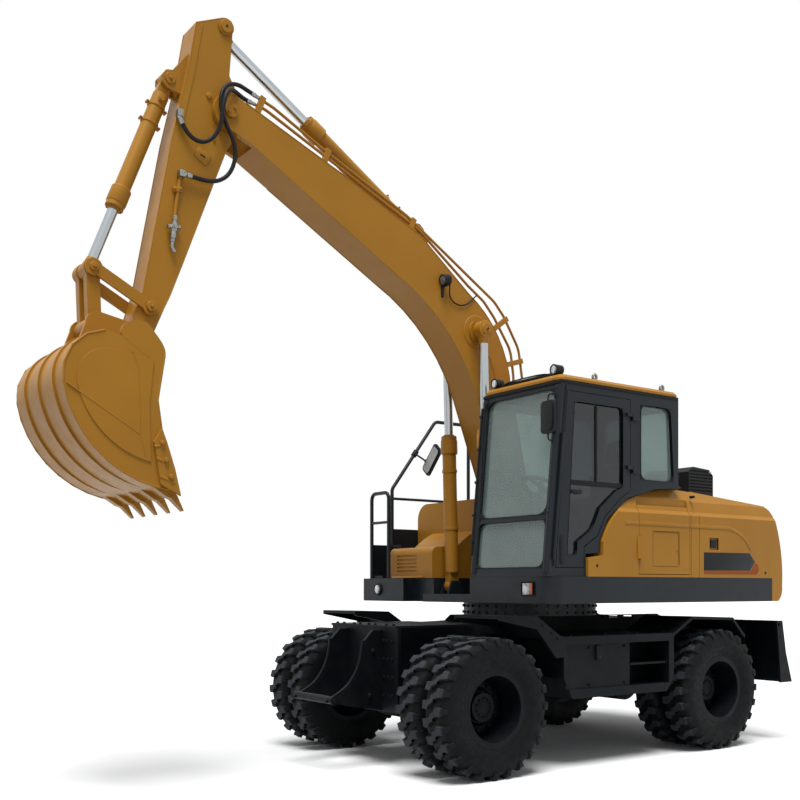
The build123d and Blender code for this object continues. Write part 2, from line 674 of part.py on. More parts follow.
body_outer_y = -half_width + 45
with BuildPart() as right_body:
    # The tank with its rounded shoulder.
    with BuildSketch(Plane.YZ.offset(bay_front_x + hood_wall)):
        with BuildLine():
            Polyline((-slot_half_width - 12, deck_top_z), (-slot_half_width - 12, 2190),
                     (body_outer_y + 150, 2190))
            ThreePointArc((body_outer_y + 150, 2190), (body_outer_y + 44, 2146),
                          (body_outer_y, 2040))
            Polyline((body_outer_y, 2040), (body_outer_y, deck_top_z),
                     (-slot_half_width - 12, deck_top_z))
        make_face()
    extrude(amount=350 - bay_front_x - hood_wall)
    # The valve cover in front of it.
    with BuildSketch(side_plane(-slot_half_width - 12)):
        with BuildLine():
            Polyline((350, deck_top_z), (840, deck_top_z), (840, 1690))
            ThreePointArc((840, 1690), (822, 1732), (780, 1750))
            Polyline((780, 1750), (560, 1760))
            ThreePointArc((560, 1760), (470, 1830), (350, 1900))
            Line((350, 1900), (350, deck_top_z))
        make_face()
    extrude(amount=640)
    for slat in range(5):
        block((830, 841), (-860, -560), (1530 + 34 * slat, 1546 + 34 * slat), Mode.SUBTRACT)
save(right_body, "right_body")

rail_radius = 17
rail_y = -1222
rail_slope = ((640, 2330), (120, 3020))   # x, z of the sloping run's ends
rail_rear_x = -300
with BuildPart() as step_rail:
    # A rail round the step box at the right front corner.
    tube([(905, -1175, deck_top_z), (905, -1175, 2262), (905, -900, 2262),
          (905, -900, deck_top_z)], 60, rail_radius)
    bar((905, -1175, 1990), (905, -900, 1990), rail_radius - 4)
    block((665, 895), (-1196, -1015), (deck_top_z, 1500))
    block((665, 685), (-1196, -1015), (1500, 1790))
    block((665, 895), (-1196, -1178), (1500, 1790))
save(step_rail, "step_rail")

with BuildPart() as handrail:
    (low_x, low_z), (high_x, high_z) = rail_slope
    tube([(low_x, rail_y, deck_top_z), (low_x, rail_y, low_z), (high_x, rail_y, high_z),
          (rail_rear_x, rail_y, high_z), (rail_rear_x, rail_y, deck_top_z)], 70, rail_radius)
    bar((low_x, rail_y, 2240), (rail_rear_x, rail_y, 2240), rail_radius - 4)
    block((190, low_x - 10), (rail_y - 6, rail_y + 6), (1760, 1950))
save(handrail, "handrail")

# ---------------------------------------------------------------- cab
quarter_window = [(-480, 2260), (-440, 2860), (-80, 2860), (-80, 2260)]
right_window = [(-480, 1900), (-440, 2860), (720, 2860), (800, 1900)]
door_window = [(130, 2180), (130, 2810), (665, 2810), (745, 1640), (640, 1640), (640, 1740),
               (470, 1850), (390, 2010), (200, 2160)]
front_windows = ((1545, 1905), (1945, 2900))
front_pillar = 58
rear_face_x = -540               # of the upright part of the cab's rear above the hood
door_hinge = (20, 1238)          # x, y
hinge_leaf = (1225, 1244)
hinge_zs = (2300, 2720)
hinge_height = 30
cab_front_low_x = 945
cab_front_top_x = 800
b_post_x = 0
cab_floor_z = deck_top_z
with BuildPart() as cab_frame:
    outline = [(cab_front_low_x, cab_floor_z), (cab_front_top_x, cab_roof_z),
               (rear_face_x, cab_roof_z), (rear_face_x, 2240), (cab_rear_x, 2200),
               (cab_rear_x, cab_floor_z)]
    inner = [(cab_front_low_x - cab_wall, cab_floor_z + cab_wall),
             (cab_front_top_x - cab_wall, cab_roof_z - cab_wall),
             (rear_face_x + cab_wall, cab_roof_z - cab_wall), (rear_face_x + cab_wall, 2240),
             (cab_rear_x + cab_wall, 2200),
             (cab_rear_x + cab_wall, cab_floor_z + cab_wall)]
    side_plate(outline, cab_right_y, cab_left_y)
    side_plate(inner, cab_right_y + cab_wall, cab_left_y - cab_wall, Mode.SUBTRACT)
    # Room for the hood's side panel outside the lower rear corner.
    side_plate([(cab_rear_x - 1, cab_floor_z - 1), (547, cab_floor_z - 1), (547, 1650),
                (390, 1660), (390, 1760), (300, 1930), (75, 2100), (-260, 2190),
                (cab_rear_x - 1, 2216)],
               hood_panel_y - 5, cab_left_y + 1, Mode.SUBTRACT)
    side_plate([(cab_rear_x, cab_floor_z), (547, cab_floor_z), (547, 1660), (390, 1670),
                (390, 1770), (300, 1940), (75, 2110), (-260, 2200), (cab_rear_x, 2226)],
               hood_panel_y - 5 - cab_wall, hood_panel_y - 5)
    # Windows: front, right, rear, rear quarter on the left; and the door opening.
    for zs in front_windows:
        block((700, 1000), (cab_right_y + front_pillar, cab_left_y - front_pillar), zs,
              Mode.SUBTRACT)
    side_plate(quarter_window, cab_left_y - 60, cab_left_y + 1, Mode.SUBTRACT)
    side_plate(right_window, cab_right_y - 1, cab_right_y + 60, Mode.SUBTRACT)
    block((cab_rear_x - 1, rear_face_x + 60), (cab_right_y + 90, cab_left_y - 90), (2280, 2860),
          Mode.SUBTRACT)
    side_plate([(b_post_x + 40, 2160), (b_post_x + 40, 2890), (745, 2890), (868, 1540), (560, 1540),
                (560, 1700), (410, 1790), (330, 1940), (150, 2095)],
               cab_left_y - 60, cab_left_y + 1, Mode.SUBTRACT)
    for hinge_z in hinge_zs:
        cylinder_on(door_hinge, 12, (hinge_z, hinge_z + hinge_height))
        block((-50, 20), hinge_leaf, (hinge_z, hinge_z + hinge_height))
save(cab_frame, "cab_frame")

roof_z = 3008
with BuildPart() as cab_roof:
    with BuildSketch(Plane.XY.offset(cab_roof_z)):
        with Locations(((cab_rear_x + cab_front_top_x) / 2 + 30, (cab_right_y + cab_left_y) / 2)):
            RectangleRounded(cab_front_top_x - cab_rear_x - 30, cab_left_y - cab_right_y + 14, 70)
    extrude(amount=roof_z - cab_roof_z)
    chamfer(cab_roof.faces().sort_by(Axis.Z)[-1].edges(), 24)
save(cab_roof, "cab_roof")

# A grab tube on the front left pillar, and the lifting eyes on the roof.
grab_y = 1243
grab_ends = ((800, 2560), (898, 1600))
with BuildPart() as cab_fittings:
    bar((grab_ends[0][0], grab_y, grab_ends[0][1]), (grab_ends[1][0], grab_y, grab_ends[1][1]), 11)
    for end_x, end_z in (between(*grab_ends, 40), between(*grab_ends, 925)):
        bar((end_x, cab_left_y + face_gap, end_z), (end_x, grab_y, end_z), 9)
    for eye_x in (365, -425):
        for eye_y in (404, 1146):
            foot_z = roof_z + face_gap
            block((eye_x - 34, eye_x + 34), (eye_y - 20, eye_y + 20), (foot_z, foot_z + 10))
            cross_pin((eye_x, foot_z + 32), 28, eye_y - 7, eye_y + 7)
            cross_pin((eye_x, foot_z + 36), 13, eye_y - 8, eye_y + 8, Mode.SUBTRACT)
save(cab_fittings, "cab_fittings")


glass = 6
front_slope = (cab_front_top_x - cab_front_low_x) / (cab_roof_z - cab_floor_z)


def front_face_x(z):
    """Where the cab's sloping front face is at this height."""
    return cab_front_low_x + front_slope * (z - cab_floor_z)


with BuildPart() as cab_glass:
    for z0, z1 in front_windows:
        x0, x1 = front_face_x(z0) - 24, front_face_x(z1) - 24
        side_plate([(x0, z0 + face_gap), (x0 + glass, z0 + face_gap),
                    (x1 + glass, z1 - face_gap), (x1, z1 - face_gap)],
                   cab_right_y + front_pillar + face_gap, cab_left_y - front_pillar - face_gap)
    block((rear_face_x + 16, rear_face_x + 16 + glass),
          (cab_right_y + 90 + face_gap, cab_left_y - 90 - face_gap),
          (2280 + face_gap, 2860 - face_gap))
    pane(quarter_window, cab_left_y - 30, cab_left_y - 30 + glass)
    pane(right_window, cab_right_y + 24, cab_right_y + 24 + glass)
save(cab_glass, "cab_glass")

with BuildPart() as cab_door:
    side_plate([(b_post_x + 45, 2162), (b_post_x + 45, 2885), (740, 2885), (862, 1545), (566, 1545),
                (566, 1706), (416, 1796), (336, 1946), (154, 2101)],
               cab_left_y - 40, cab_left_y)
    side_plate(door_window, cab_left_y - 41, cab_left_y + 1, Mode.SUBTRACT)
    for hinge_z in hinge_zs:
        low = hinge_z + hinge_height + face_gap
        cylinder_on(door_hinge, 12, (low, low + hinge_height))
        block((20, 90), (door_hinge[1] - 6, hinge_leaf[1]), (low, low + hinge_height))
        block((50, 90), hinge_leaf, (low, low + hinge_height))
save(cab_door, "cab_door")

with BuildPart() as cab_door_glass:
    pane(door_window, cab_left_y - 24, cab_left_y - 24 + glass)
save(cab_door_glass, "cab_door_glass")

with BuildPart() as seat:
    with BuildSketch(Plane.XY.offset(cab_floor_z + cab_wall)):
        with Locations((90, 770)):
            RectangleRounded(420, 400, 40)
    extrude(amount=180)
    block((-60, 240), (650, 890), (cab_floor_z + cab_wall, 1840))
    with BuildSketch(side_plane(1020)):
        with BuildLine():
            Polyline((-170, 1835), (330, 1835))
            ThreePointArc((330, 1835), (375, 1900), (320, 1955))
            Polyline((320, 1955), (-20, 1930), (-110, 2400))
            ThreePointArc((-110, 2400), (-150, 2470), (-205, 2440))
            Polyline((-205, 2440), (-250, 2330), (-170, 1835))
        make_face()
    extrude(amount=500)
    side_plate([(-190, 2440), (-120, 2440), (-145, 2700), (-215, 2700)], 640, 900)
    for y0, y1 in ((530 - 110, 530 - 20), (1010 + 20, 1010 + 70)):
        side_plate([(-130, 2060), (350, 2030), (360, 2090), (330, 2110), (-130, 2120)], y0, y1)
        side_plate([(-130, 1900), (60, 1900), (60, 2060), (-130, 2060)], y0, y1)
    block((-120, 50), (420, 1080), (1900, 1930))
save(seat, "seat")

column_top = (560, 2190)
wheel_radius = 185
with BuildPart() as controls:
    side_plate([(600, cab_floor_z + cab_wall), (720, cab_floor_z + cab_wall), (640, 2150),
                (560, 2165)], 725, 815)
    block((560, 800), (640, 900), (cab_floor_z + cab_wall, cab_floor_z + cab_wall + 25))
    lean = Vector(0.55, 0, -1).normalized()
    rim_centre = Vector(column_top[0] - 12, 770, column_top[1])
    with BuildSketch(Plane(origin=rim_centre, x_dir=(0, 1, 0), z_dir=lean)):
        Circle(wheel_radius)
        Circle(wheel_radius - 24, mode=Mode.SUBTRACT)
        for turn in (0, 120, 240):
            with Locations(Location((0, 0, 0), (0, 0, turn))):
                with Locations((0, (wheel_radius - 12) / 2)):
                    Rectangle(26, wheel_radius - 12)
        Circle(48)
    extrude(amount=24)
    bar(rim_centre, rim_centre + lean * 75, 32)
save(controls, "controls")

mirror_z = 2740
pillar_gap = 1.4          # the pillar leans, so this leaves about face_gap at the tube's edge
with BuildPart() as mirrors:
    # One on the cab's front left pillar, folded in against it.
    pillar_x = front_face_x(mirror_z) + pillar_gap
    cross_x(cab_left_y - 29, mirror_z, (pillar_x, pillar_x + 52), 11)
    block((870, 900), (cab_left_y - 140, cab_left_y + 15), (2550, 2805))
    # One clamped on the slope of the right handrail, tilted on its arm.
    slope = Vector(rail_slope[1][0] - rail_slope[0][0], 0,
                   rail_slope[1][1] - rail_slope[0][1]).normalized()
    clamp = Vector(rail_slope[0][0], rail_y, rail_slope[0][1]) + slope * 450
    bar(clamp - slope * 30, clamp + slope * 30, rail_radius + 10)
    bar(clamp, (355, -1060, 2600), 11)
    bar(clamp - slope * 31, clamp + slope * 31, rail_radius + face_gap, Mode.SUBTRACT)
    with BuildSketch(Plane.YZ.offset(340)):
        with Locations(Location((-975, 2605, 0), (0, 0, 48))):
            RectangleRounded(310, 140, 35)
    extrude(amount=26)
save(mirrors, "mirrors")

with BuildPart() as lamps:
    # Two work lamps on the cab roof, and the two headlamps in the deck's front.
    for lamp_y in (roof_lamp_ys):
        cross_x(lamp_y, roof_z + 48, (cab_front_top_x - 90, cab_front_top_x - 20), 40)
        block((cab_front_top_x - 75, cab_front_top_x - 45), (lamp_y - 15, lamp_y + 15),
              (roof_z + face_gap, roof_z + 48))
    block((deck_front_x - headlamp_depth + face_gap, deck_front_x + 8),
          (square_lamp[0] + face_gap, square_lamp[1] - face_gap),
          (square_lamp[2] + face_gap, square_lamp[3] - face_gap))
    cross_x(round_lamp[0], round_lamp[1],
            (deck_front_x - headlamp_depth + face_gap, deck_front_x + 8),
            round_lamp[2] - face_gap)
save(lamps, "lamps")

# ---------------------------------------------------------------- boom
rod_eye_half = 40
boss_face_y = boom_half_width + 24
with BuildPart() as boom:
    with BuildSketch(Plane.XZ):
        with BuildLine():
            Polyline((45, 1840), (359, 3104))
            ThreePointArc((359, 3104), (510, 3545), (830, 3850))
            Polyline((830, 3850), (1330, 4235), (2030, 4540), (2965, 4905))
            ThreePointArc((2965, 4905), (3150, 4790), (3000, 4650))
            Polyline((3000, 4650), (2848, 4591), (1560, 3877))
            ThreePointArc((1560, 3877), (1010, 3455), (700, 2900))
            Polyline((700, 2900), (255, 1765))
            ThreePointArc((255, 1765), (150, 1690), (45, 1840))
        make_face()
    extrude(amount=boom_half_width, both=True)
    # The fork that holds the arm.
    tip_dir = degrees(atan2(arm_pivot[1] - 4235, arm_pivot[0] - 1330))
    with BuildSketch(Plane.XZ):
        with Locations(Location((arm_pivot[0], arm_pivot[1], 0), (0, 0, tip_dir))):
            with Locations((60, 0)):
                Rectangle(600, 700)
    extrude(amount=arm_half_width + side_gap, both=True, mode=Mode.SUBTRACT)
    cross_pin(arm_pivot, boom_pin_radius + running, -boom_half_width - 1, boom_half_width + 1,
              Mode.SUBTRACT)
    cross_pin(boom_foot, boom_pin_radius + running, -boom_half_width - 1, boom_half_width + 1,
              Mode.SUBTRACT)
    for y0, y1 in both_sides(boom_half_width - 1, boss_face_y):
        cross_pin(boom_cyl_pin, 90, y0, y1)
    # Flanges that stand out along the edges of the box, and the rings at both ends.
    for y0, y1 in both_sides(boom_half_width - 1, boom_half_width + 4):
        cross_pin(boom_foot, 108, y0, y1)
        cross_pin(boom_foot, boom_pin_radius + running, y0 - 1, y1 + 1, Mode.SUBTRACT)
    # Ears for the arm cylinder.
    for y0, y1 in both_sides(cyl_eye_half + side_gap + 6, cyl_eye_half + side_gap + 32):
        side_plate([(1130, 4060), (1235, 4330), (1275, 4365), (1325, 4365), (1365, 4330),
                    (1395, 4240)], y0, y1)
    cross_pin(arm_cyl_foot, cyl_pin_radius, -cyl_eye_half - side_gap - 7, cyl_eye_half + side_gap + 7)
save(boom, "boom")

# Two steel pipes that run up the boom's left side, one over the other, and their saddles.
pipe_y = 130
pipe_radius = 11
hose_radius = 15
lower_pipe = [(300, 3060), (307, 3231), (341, 3444), (526, 3697), (641, 3817), (820, 3925),
              (1325, 4285), (2030, 4590), (2730, 4888), (2850, 4908)]
upper_pipe = [(205, 3217), (248, 3469), (419, 3726), (526, 3835), (1450, 4378), (2244, 4722),
              (2657, 4917), (2813, 4967)]
# foot on the boom (x, z), the boom's own slope there in degrees, height of the saddle
pipe_saddles = [((2800, 4840.6), 21.3, 140), ((2230, 4618.1), 21.3, 118),
                ((1420, 4274.2), 23.5, 100), ((543.4, 3593.1), 53.5, 199), ((398.9, 3308.5), 72.7, 199)]
with BuildPart() as boom_pipes:
    for run in (lower_pipe, upper_pipe):
        eased_tube([(x, pipe_y, z) for x, z in run], pipe_radius, 260)
    for (foot_x, foot_z), slope, height in pipe_saddles:
        with BuildSketch(side_plane(pipe_y + 16)) as outline:
            with Locations(Location((foot_x, foot_z, 0), (0, 0, slope))):
                with Locations((0, height / 2 + face_gap)):
                    Rectangle(44, height)
        extrude(outline.sketch, amount=28)
save(boom_pipes, "boom_pipes")

# A work lamp on a bracket on the boom's left face.
lamp_bracket_x = (1098, 1122)
lamp_y = 205
with BuildPart() as boom_lamp:
    block(lamp_bracket_x, (boom_half_width + face_gap, boom_half_width + 8), (3770, 3860))
    block(lamp_bracket_x, (boom_half_width + face_gap, lamp_y + 28), (3852, 3860))
    cylinder_on((1110, lamp_y), 9, (3855, 3885))
    bar((1082, lamp_y, 3910), (1140, lamp_y, 3898), 44)
save(boom_lamp, "boom_lamp")

# Rubber hoses that hang in a loop past the arm's pin, clear of the boom's tip.
upper_hose = [(2813.4, 130, 4967.1), (2875, 130, 4986.9), (2965, 152, 5000), (3060, 170, 4965),
              (3108, 178, 4880), (3112, 180, 4789), (3075, 181, 4683), (3014, 180, 4583), (2988, 172, 4491),
              (3003, 164, 4398), (3045, 156, 4320), (3118, 150, 4268), (3200, 146, 4252),
              (3290, 146, 4256), (3352, 146, 4262)]
lower_hose = [(2850.4, 130, 4908.1), (2905, 130, 4917.2), (2975, 158, 4934), (3050, 210, 4920),
              (3096, 229, 4860), (3117, 230, 4770), (3120, 216, 4672), (3142, 196, 4592), (3192, 176, 4530),
              (3258, 160, 4506), (3325, 150, 4530), (3375, 146, 4588), (3400, 146, 4640)]
with BuildPart() as hose_upper:
    upper_bends = eased_tube(upper_hose, hose_radius, 220)
save(hose_upper, "hose_upper")

with BuildPart() as hose_lower:
    lower_bends = eased_tube(lower_hose, hose_radius, 220)
save(hose_lower, "hose_lower")
print("hose bends", [round(bend) for bend in upper_bends], [round(bend) for bend in lower_bends])



def barrel(foot, pin, middle_y, length, radius, rod_radius, eye_half):
    """A cylinder barrel from its foot towards the rod's pin, bored for the rod."""
    head = between(foot, pin, length)
    collar = between(foot, pin, length - 110)
    base = between(foot, pin, barrel_base)
    bore = between(foot, pin, barrel_base + 40)
    bar((base[0], middle_y, base[1]), (head[0], middle_y, head[1]), radius)
    bar((collar[0], middle_y, collar[1]), (head[0], middle_y, head[1]), radius + 7)
    bar((bore[0], middle_y, bore[1]), (head[0], middle_y, head[1]), rod_radius + running,
        Mode.SUBTRACT)
    cross_pin(foot, radius, middle_y - eye_half, middle_y + eye_half)
    side_plate([between(foot, pin, 0, radius * 0.8), between(foot, pin, barrel_base + 5, radius * 0.8),
                between(foot, pin, barrel_base + 5, -radius * 0.8), between(foot, pin, 0, -radius * 0.8)],
               middle_y - eye_half, middle_y + eye_half)
    cross_pin(foot, cyl_pin_radius + running, middle_y - eye_half - 1, middle_y + eye_half + 1,
              Mode.SUBTRACT)


def rod(foot, pin, middle_y, start, radius, eye_radius, eye_half):
    """A piston rod with its solid eye."""
    tail = between(foot, pin, start)
    bar((tail[0], middle_y, tail[1]), (pin[0], middle_y, pin[1]), radius)
    cross_pin(pin, eye_radius, middle_y - eye_half, middle_y + eye_half)


boom_rod_radius = 38
with BuildPart() as boom_barrels:
    for middle_y in (boom_cyl_y, -boom_cyl_y):
        barrel(boom_cyl_foot, boom_cyl_pin, middle_y, 1300, 60, boom_rod_radius, cyl_eye_half)
save(boom_barrels, "boom_barrels")

with BuildPart() as boom_rods:
    for middle_y in (boom_cyl_y, -boom_cyl_y):
        rod(boom_cyl_foot, boom_cyl_pin, middle_y, 830, boom_rod_radius, 72, rod_eye_half)
save(boom_rods, "boom_rods")

with BuildPart() as arm_barrel:
    barrel(arm_cyl_foot, arm_cyl_pin, 0, 1200, 62, 38, cyl_eye_half)
save(arm_barrel, "arm_barrel")

with BuildPart() as arm_rod:
    rod(arm_cyl_foot, arm_cyl_pin, 0, 745, 38, 62, rod_eye_half)
save(arm_rod, "arm_rod")

# ---------------------------------------------------------------- arm
slot_half = rod_eye_half + side_gap
with BuildPart() as arm:
    with BuildSketch(Plane.XZ):
        with BuildLine():
            Polyline((2985, 5375), (2990, 5455), (3060, 5465), (3265, 5370), (3333, 4989),
                     (3446, 4509), (3655, 3420), (3765, 3090))
            ThreePointArc((3765, 3090), (3700, 3000), (3615, 3060))
            Polyline((3615, 3060), (3463, 3408), (3357, 3677), (3033, 4524), (2905, 4690))
            ThreePointArc((2905, 4690), (2865, 4800), (2930, 4920))
            Polyline((2930, 4920), (3010, 5060), (2985, 5375))
        make_face()
    extrude(amount=arm_half_width, both=True)
    # The slot at the top for the arm cylinder's rod.
    with BuildSketch(Plane.XZ):
        with Locations(arm_cyl_pin):
            Circle(200)
        with Locations((arm_cyl_pin[0] - 200, arm_cyl_pin[1])):
            Rectangle(400, 400)
    extrude(amount=slot_half, both=True, mode=Mode.SUBTRACT)
    cross_pin(arm_pivot, boom_pin_radius, -boom_half_width - 12, boom_half_width + 12)
    for y0, y1 in both_sides(slot_half, arm_half_width + 14):
        cross_pin(arm_cyl_pin, 60, y0, y1)
    # Ears for the bucket cylinder.
    for y0, y1 in both_sides(cyl_eye_half + side_gap, cyl_eye_half + side_gap + 26):
        side_plate([(3300, 5160), (3420, 5005), (3470, 4995), (3500, 4955), (3500, 4915),
                    (3460, 4870), (3350, 4850)], y0, y1)
    cross_pin(bucket_cyl_foot, cyl_pin_radius, -cyl_eye_half - side_gap - 1,
              cyl_eye_half + side_gap + 1)
    cross_pin(guide_pin, 34, -(arm_half_width + side_gap + 30), arm_half_width + side_gap + 30)
    cross_pin(bucket_pin, 46, -(arm_half_width + 28), arm_half_width + 28)
    cross_pin(bucket_pin, 34, -(arm_half_width + 64), arm_half_width + 64)
save(arm, "arm")

# The end blocks of the two hoses, and the pipe and check valve down the arm's left face.
fitting_y = 146
arm_face_y = arm_half_width + face_gap
with BuildPart() as arm_fittings:
    block((3385, 3425), (arm_face_y, fitting_y + 20), (4655, 4700))
    bar((3400.2, fitting_y, 4640.4), (3411, fitting_y, 4662.9), 13)
    block((3370, 3412), (arm_face_y, fitting_y + 20), (4238, 4282))
    bar((3352.4, fitting_y, 4262.04), (3376, fitting_y, 4264.3), 13)
    eased_tube([(3396, pipe_y, 4245), (3399, pipe_y, 4200), (3417, pipe_y, 4124),
                (3436, pipe_y, 3940)], pipe_radius, 150)
    side_plate([(3398, 4170), (3440, 4170), (3448, 4132), (3406, 4132)], arm_face_y, pipe_y + 14)
    side_plate([(3412, 3945), (3462, 3950), (3492, 3790), (3468, 3712), (3430, 3712),
                (3422, 3800)], arm_face_y, pipe_y + 30)
    cross_pin((3446, 3890), 17, pipe_y + 30, pipe_y + 44)
save(arm_fittings, "arm_fittings")


with BuildPart() as bucket_barrel:
    barrel(bucket_cyl_foot, link_pin, 0, 1040, 56, 36, cyl_eye_half)
save(bucket_barrel, "bucket_barrel")

with BuildPart() as bucket_rod:
    rod(bucket_cyl_foot, link_pin, 0, 420, 36, 54, rod_eye_half)
save(bucket_rod, "bucket_rod")

# ---------------------------------------------------------------- bucket linkage
guide_y = (arm_half_width + side_gap, arm_half_width + side_gap + 20)
with BuildPart() as guide_links:
    for y0, y1 in both_sides(*guide_y):
        with BuildSketch(side_plane(y1)):
            with Locations(guide_pin, link_pin):
                Circle(58)
            with BuildLine():
                Polyline(between(guide_pin, link_pin, 0, 40), between(link_pin, guide_pin, 0, -40),
                         between(link_pin, guide_pin, 0, 40), between(guide_pin, link_pin, 0, -40),
                         close=True)
            make_face()
        extrude(amount=y1 - y0)
        cross_pin(guide_pin, 34 + running, y0, y1, Mode.SUBTRACT)
    for y0, y1 in both_sides(rod_eye_half + side_gap + 4, guide_y[1] + 6):
        cross_pin(link_pin, 32, y0, y1)
save(guide_links, "guide_links")

with BuildPart() as bucket_link:
    for y0, y1 in both_sides(rod_eye_half + side_gap, guide_y[0] - side_gap):
        with BuildSketch(side_plane(y1)):
            with Locations(link_pin, bucket_link_pin):
                Circle(62)
            with BuildLine():
                Polyline(between(link_pin, bucket_link_pin, 0, 45),
                         between(bucket_link_pin, link_pin, 0, -45),
                         between(bucket_link_pin, link_pin, 0, 45),
                         between(link_pin, bucket_link_pin, 0, -45), close=True)
            make_face()
        extrude(amount=y1 - y0)
        cross_pin(link_pin, 32 + running, y0, y1, Mode.SUBTRACT)
    cross_pin(bucket_link_pin, 62, -(guide_y[1] - 1), guide_y[1] - 1)
save(bucket_link, "bucket_link")

# ---------------------------------------------------------------- bucket
ear_y = (arm_half_width + 30, arm_half_width + 58)
tooth_count = 5
tooth_pitch = 220
bucket_side = 30
with BuildPart() as bucket:
    with BuildSketch(side_plane(bucket_half_width)):
        with BuildLine():
            Polyline((3660, 2930), (3711, 2605), (3663, 2331), (3615, 2027))
            ThreePointArc((3615, 2027), (4090, 2230), (bucket_back_x - 10, 2663))
            ThreePointArc((bucket_back_x - 10, 2663), (4260, 2900), (4060, 3010))
            Polyline((4060, 3010), (3800, 2960), (3660, 2930))
        make_face()
    extrude(amount=2 * bucket_half_width)
    with BuildSketch(side_plane(bucket_half_width - bucket_side)):
        with BuildLine():
            Polyline((3600, 2890), (3600, 2040), (3640, 2075))
            ThreePointArc((3640, 2075), (4065, 2255), (bucket_back_x - 40, 2663))
            ThreePointArc((bucket_back_x - 40, 2663), (4225, 2870), (4050, 2975))
            Polyline((4050, 2975), (3800, 2920), (3600, 2890))
        make_face()
    extrude(amount=2 * (bucket_half_width - bucket_side), mode=Mode.SUBTRACT)
    for y0, y1 in both_sides(*ear_y):
        with BuildSketch(side_plane(y1)):
            with Locations(bucket_pin, bucket_link_pin):
                Circle(80)
            with BuildLine():
                Polyline((3610, 3075), (3690, 3155), (3990, 3210), (4070, 3130), (4130, 2970),
                         (3800, 2940), (3640, 2926), close=True)
            make_face()
        extrude(amount=y1 - y0)
        cross_pin(bucket_pin, 34 + running, y0, y1, Mode.SUBTRACT)
    # Wear bands round the back, and a raised panel on each side plate.
    for band_y in (-300, 0, 300):
        with BuildSketch(side_plane(band_y + 28)):
            with BuildLine():
                Polyline((3680, 2050), (3690, 2038))
                ThreePointArc((3690, 2038), (4099, 2222), (bucket_back_x, 2650))
                ThreePointArc((bucket_back_x, 2650), (4271, 2905), (4080, 3015))
                Line((4080, 3015), (4062, 3000))
                ThreePointArc((4062, 3000), (4240, 2890), (bucket_back_x - 30, 2663))
                ThreePointArc((bucket_back_x - 30, 2663), (4070, 2250), (3680, 2050))
            make_face()
        extrude(amount=56)
    for y0, y1 in both_sides(bucket_half_width, bucket_half_width + 7):
        with BuildSketch(side_plane(y1)):
            with BuildLine():
                Polyline((3760, 2200), (3770, 2560), (3740, 2860), (4020, 2900))
                ThreePointArc((4020, 2900), (4190, 2830), (4235, 2640))
                ThreePointArc((4235, 2640), (4060, 2350), (3760, 2200))
            make_face()
        extrude(amount=y1 - y0)
    # Side cutters bolted on by the lip.
    for y0, y1 in both_sides(bucket_half_width - 2, bucket_half_width + 22):
        side_plate([(3560, 1990), (3700, 2060), (3745, 2330), (3690, 2420), (3655, 2330),
                    (3600, 2160)], y0, y1)
    # The lip's edge plate and five teeth on their adapters.
    side_plate([(3700, 2098), (3715, 2062), (3600, 1992), (3588, 2010)],
               -bucket_half_width, bucket_half_width)
    for tooth in range(tooth_count):
        middle_y = tooth_pitch * (tooth - (tooth_count - 1) / 2)
        side_plate([(3745, 2130), (3600, 2052), (3566, 1988), (3590, 1968), (3640, 1985),
                    (3760, 2060)], middle_y - 36, middle_y + 36)
        with BuildSketch(Plane(origin=(3585, middle_y, 1986), x_dir=(0, 1, 0),
                               z_dir=(3517 - 3585, 0, 1894 - 1986))) as root:
            Rectangle(62, 46)
        with BuildSketch(Plane(origin=(3519, middle_y, 1897), x_dir=(0, 1, 0),
                               z_dir=(3517 - 3585, 0, 1894 - 1986))) as point:
            Rectangle(46, 8)
        loft([root.sketch.faces()[0], point.sketch.faces()[0]])
save(bucket, "bucket")
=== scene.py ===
import json
from math import cos, pi, radians, sin

import bmesh
import bpy
from mathutils import Matrix, Vector


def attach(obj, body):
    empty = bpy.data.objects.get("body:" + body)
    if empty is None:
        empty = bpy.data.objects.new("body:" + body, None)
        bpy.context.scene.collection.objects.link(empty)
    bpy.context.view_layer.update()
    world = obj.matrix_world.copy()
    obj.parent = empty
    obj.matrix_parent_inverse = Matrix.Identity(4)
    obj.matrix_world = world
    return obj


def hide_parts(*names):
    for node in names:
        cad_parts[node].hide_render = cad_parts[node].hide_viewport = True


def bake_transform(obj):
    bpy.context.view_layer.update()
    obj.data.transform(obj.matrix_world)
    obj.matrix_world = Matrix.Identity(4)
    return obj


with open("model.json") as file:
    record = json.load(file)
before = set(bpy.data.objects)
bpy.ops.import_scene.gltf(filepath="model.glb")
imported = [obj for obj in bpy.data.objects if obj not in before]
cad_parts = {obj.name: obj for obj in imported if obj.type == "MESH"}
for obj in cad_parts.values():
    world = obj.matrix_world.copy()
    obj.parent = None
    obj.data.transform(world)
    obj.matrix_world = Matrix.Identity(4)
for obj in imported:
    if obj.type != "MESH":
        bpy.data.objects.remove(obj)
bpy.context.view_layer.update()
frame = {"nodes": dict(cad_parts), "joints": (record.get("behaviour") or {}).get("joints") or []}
SLEW_X = next(joint for joint in frame["joints"] if joint["name"] == "slew")["pos_m"][0]
MM = 0.001
X, Y, Z = Vector((1, 0, 0)), Vector((0, 1, 0)), Vector((0, 0, 1))


def at(x, y, z):
    """A point in millimetres from the slewing centre and the ground, as metres in the frame."""
    return Vector((x * MM + SLEW_X, y * MM, z * MM))


def on_side(y, points):
    """The (x, z) points of an outline or a line, placed in the upright plane at this y."""
    return [at(x, y, z) for x, z in points]


def on_front(x, points):
    """The (y, z) points of an outline, placed in the upright plane at this x."""
    return [at(x, y, z) for y, z in points]


def rectangle(left, low, right, high):
    """The corners of a rectangle."""
    return [(left, low), (right, low), (right, high), (left, high)]


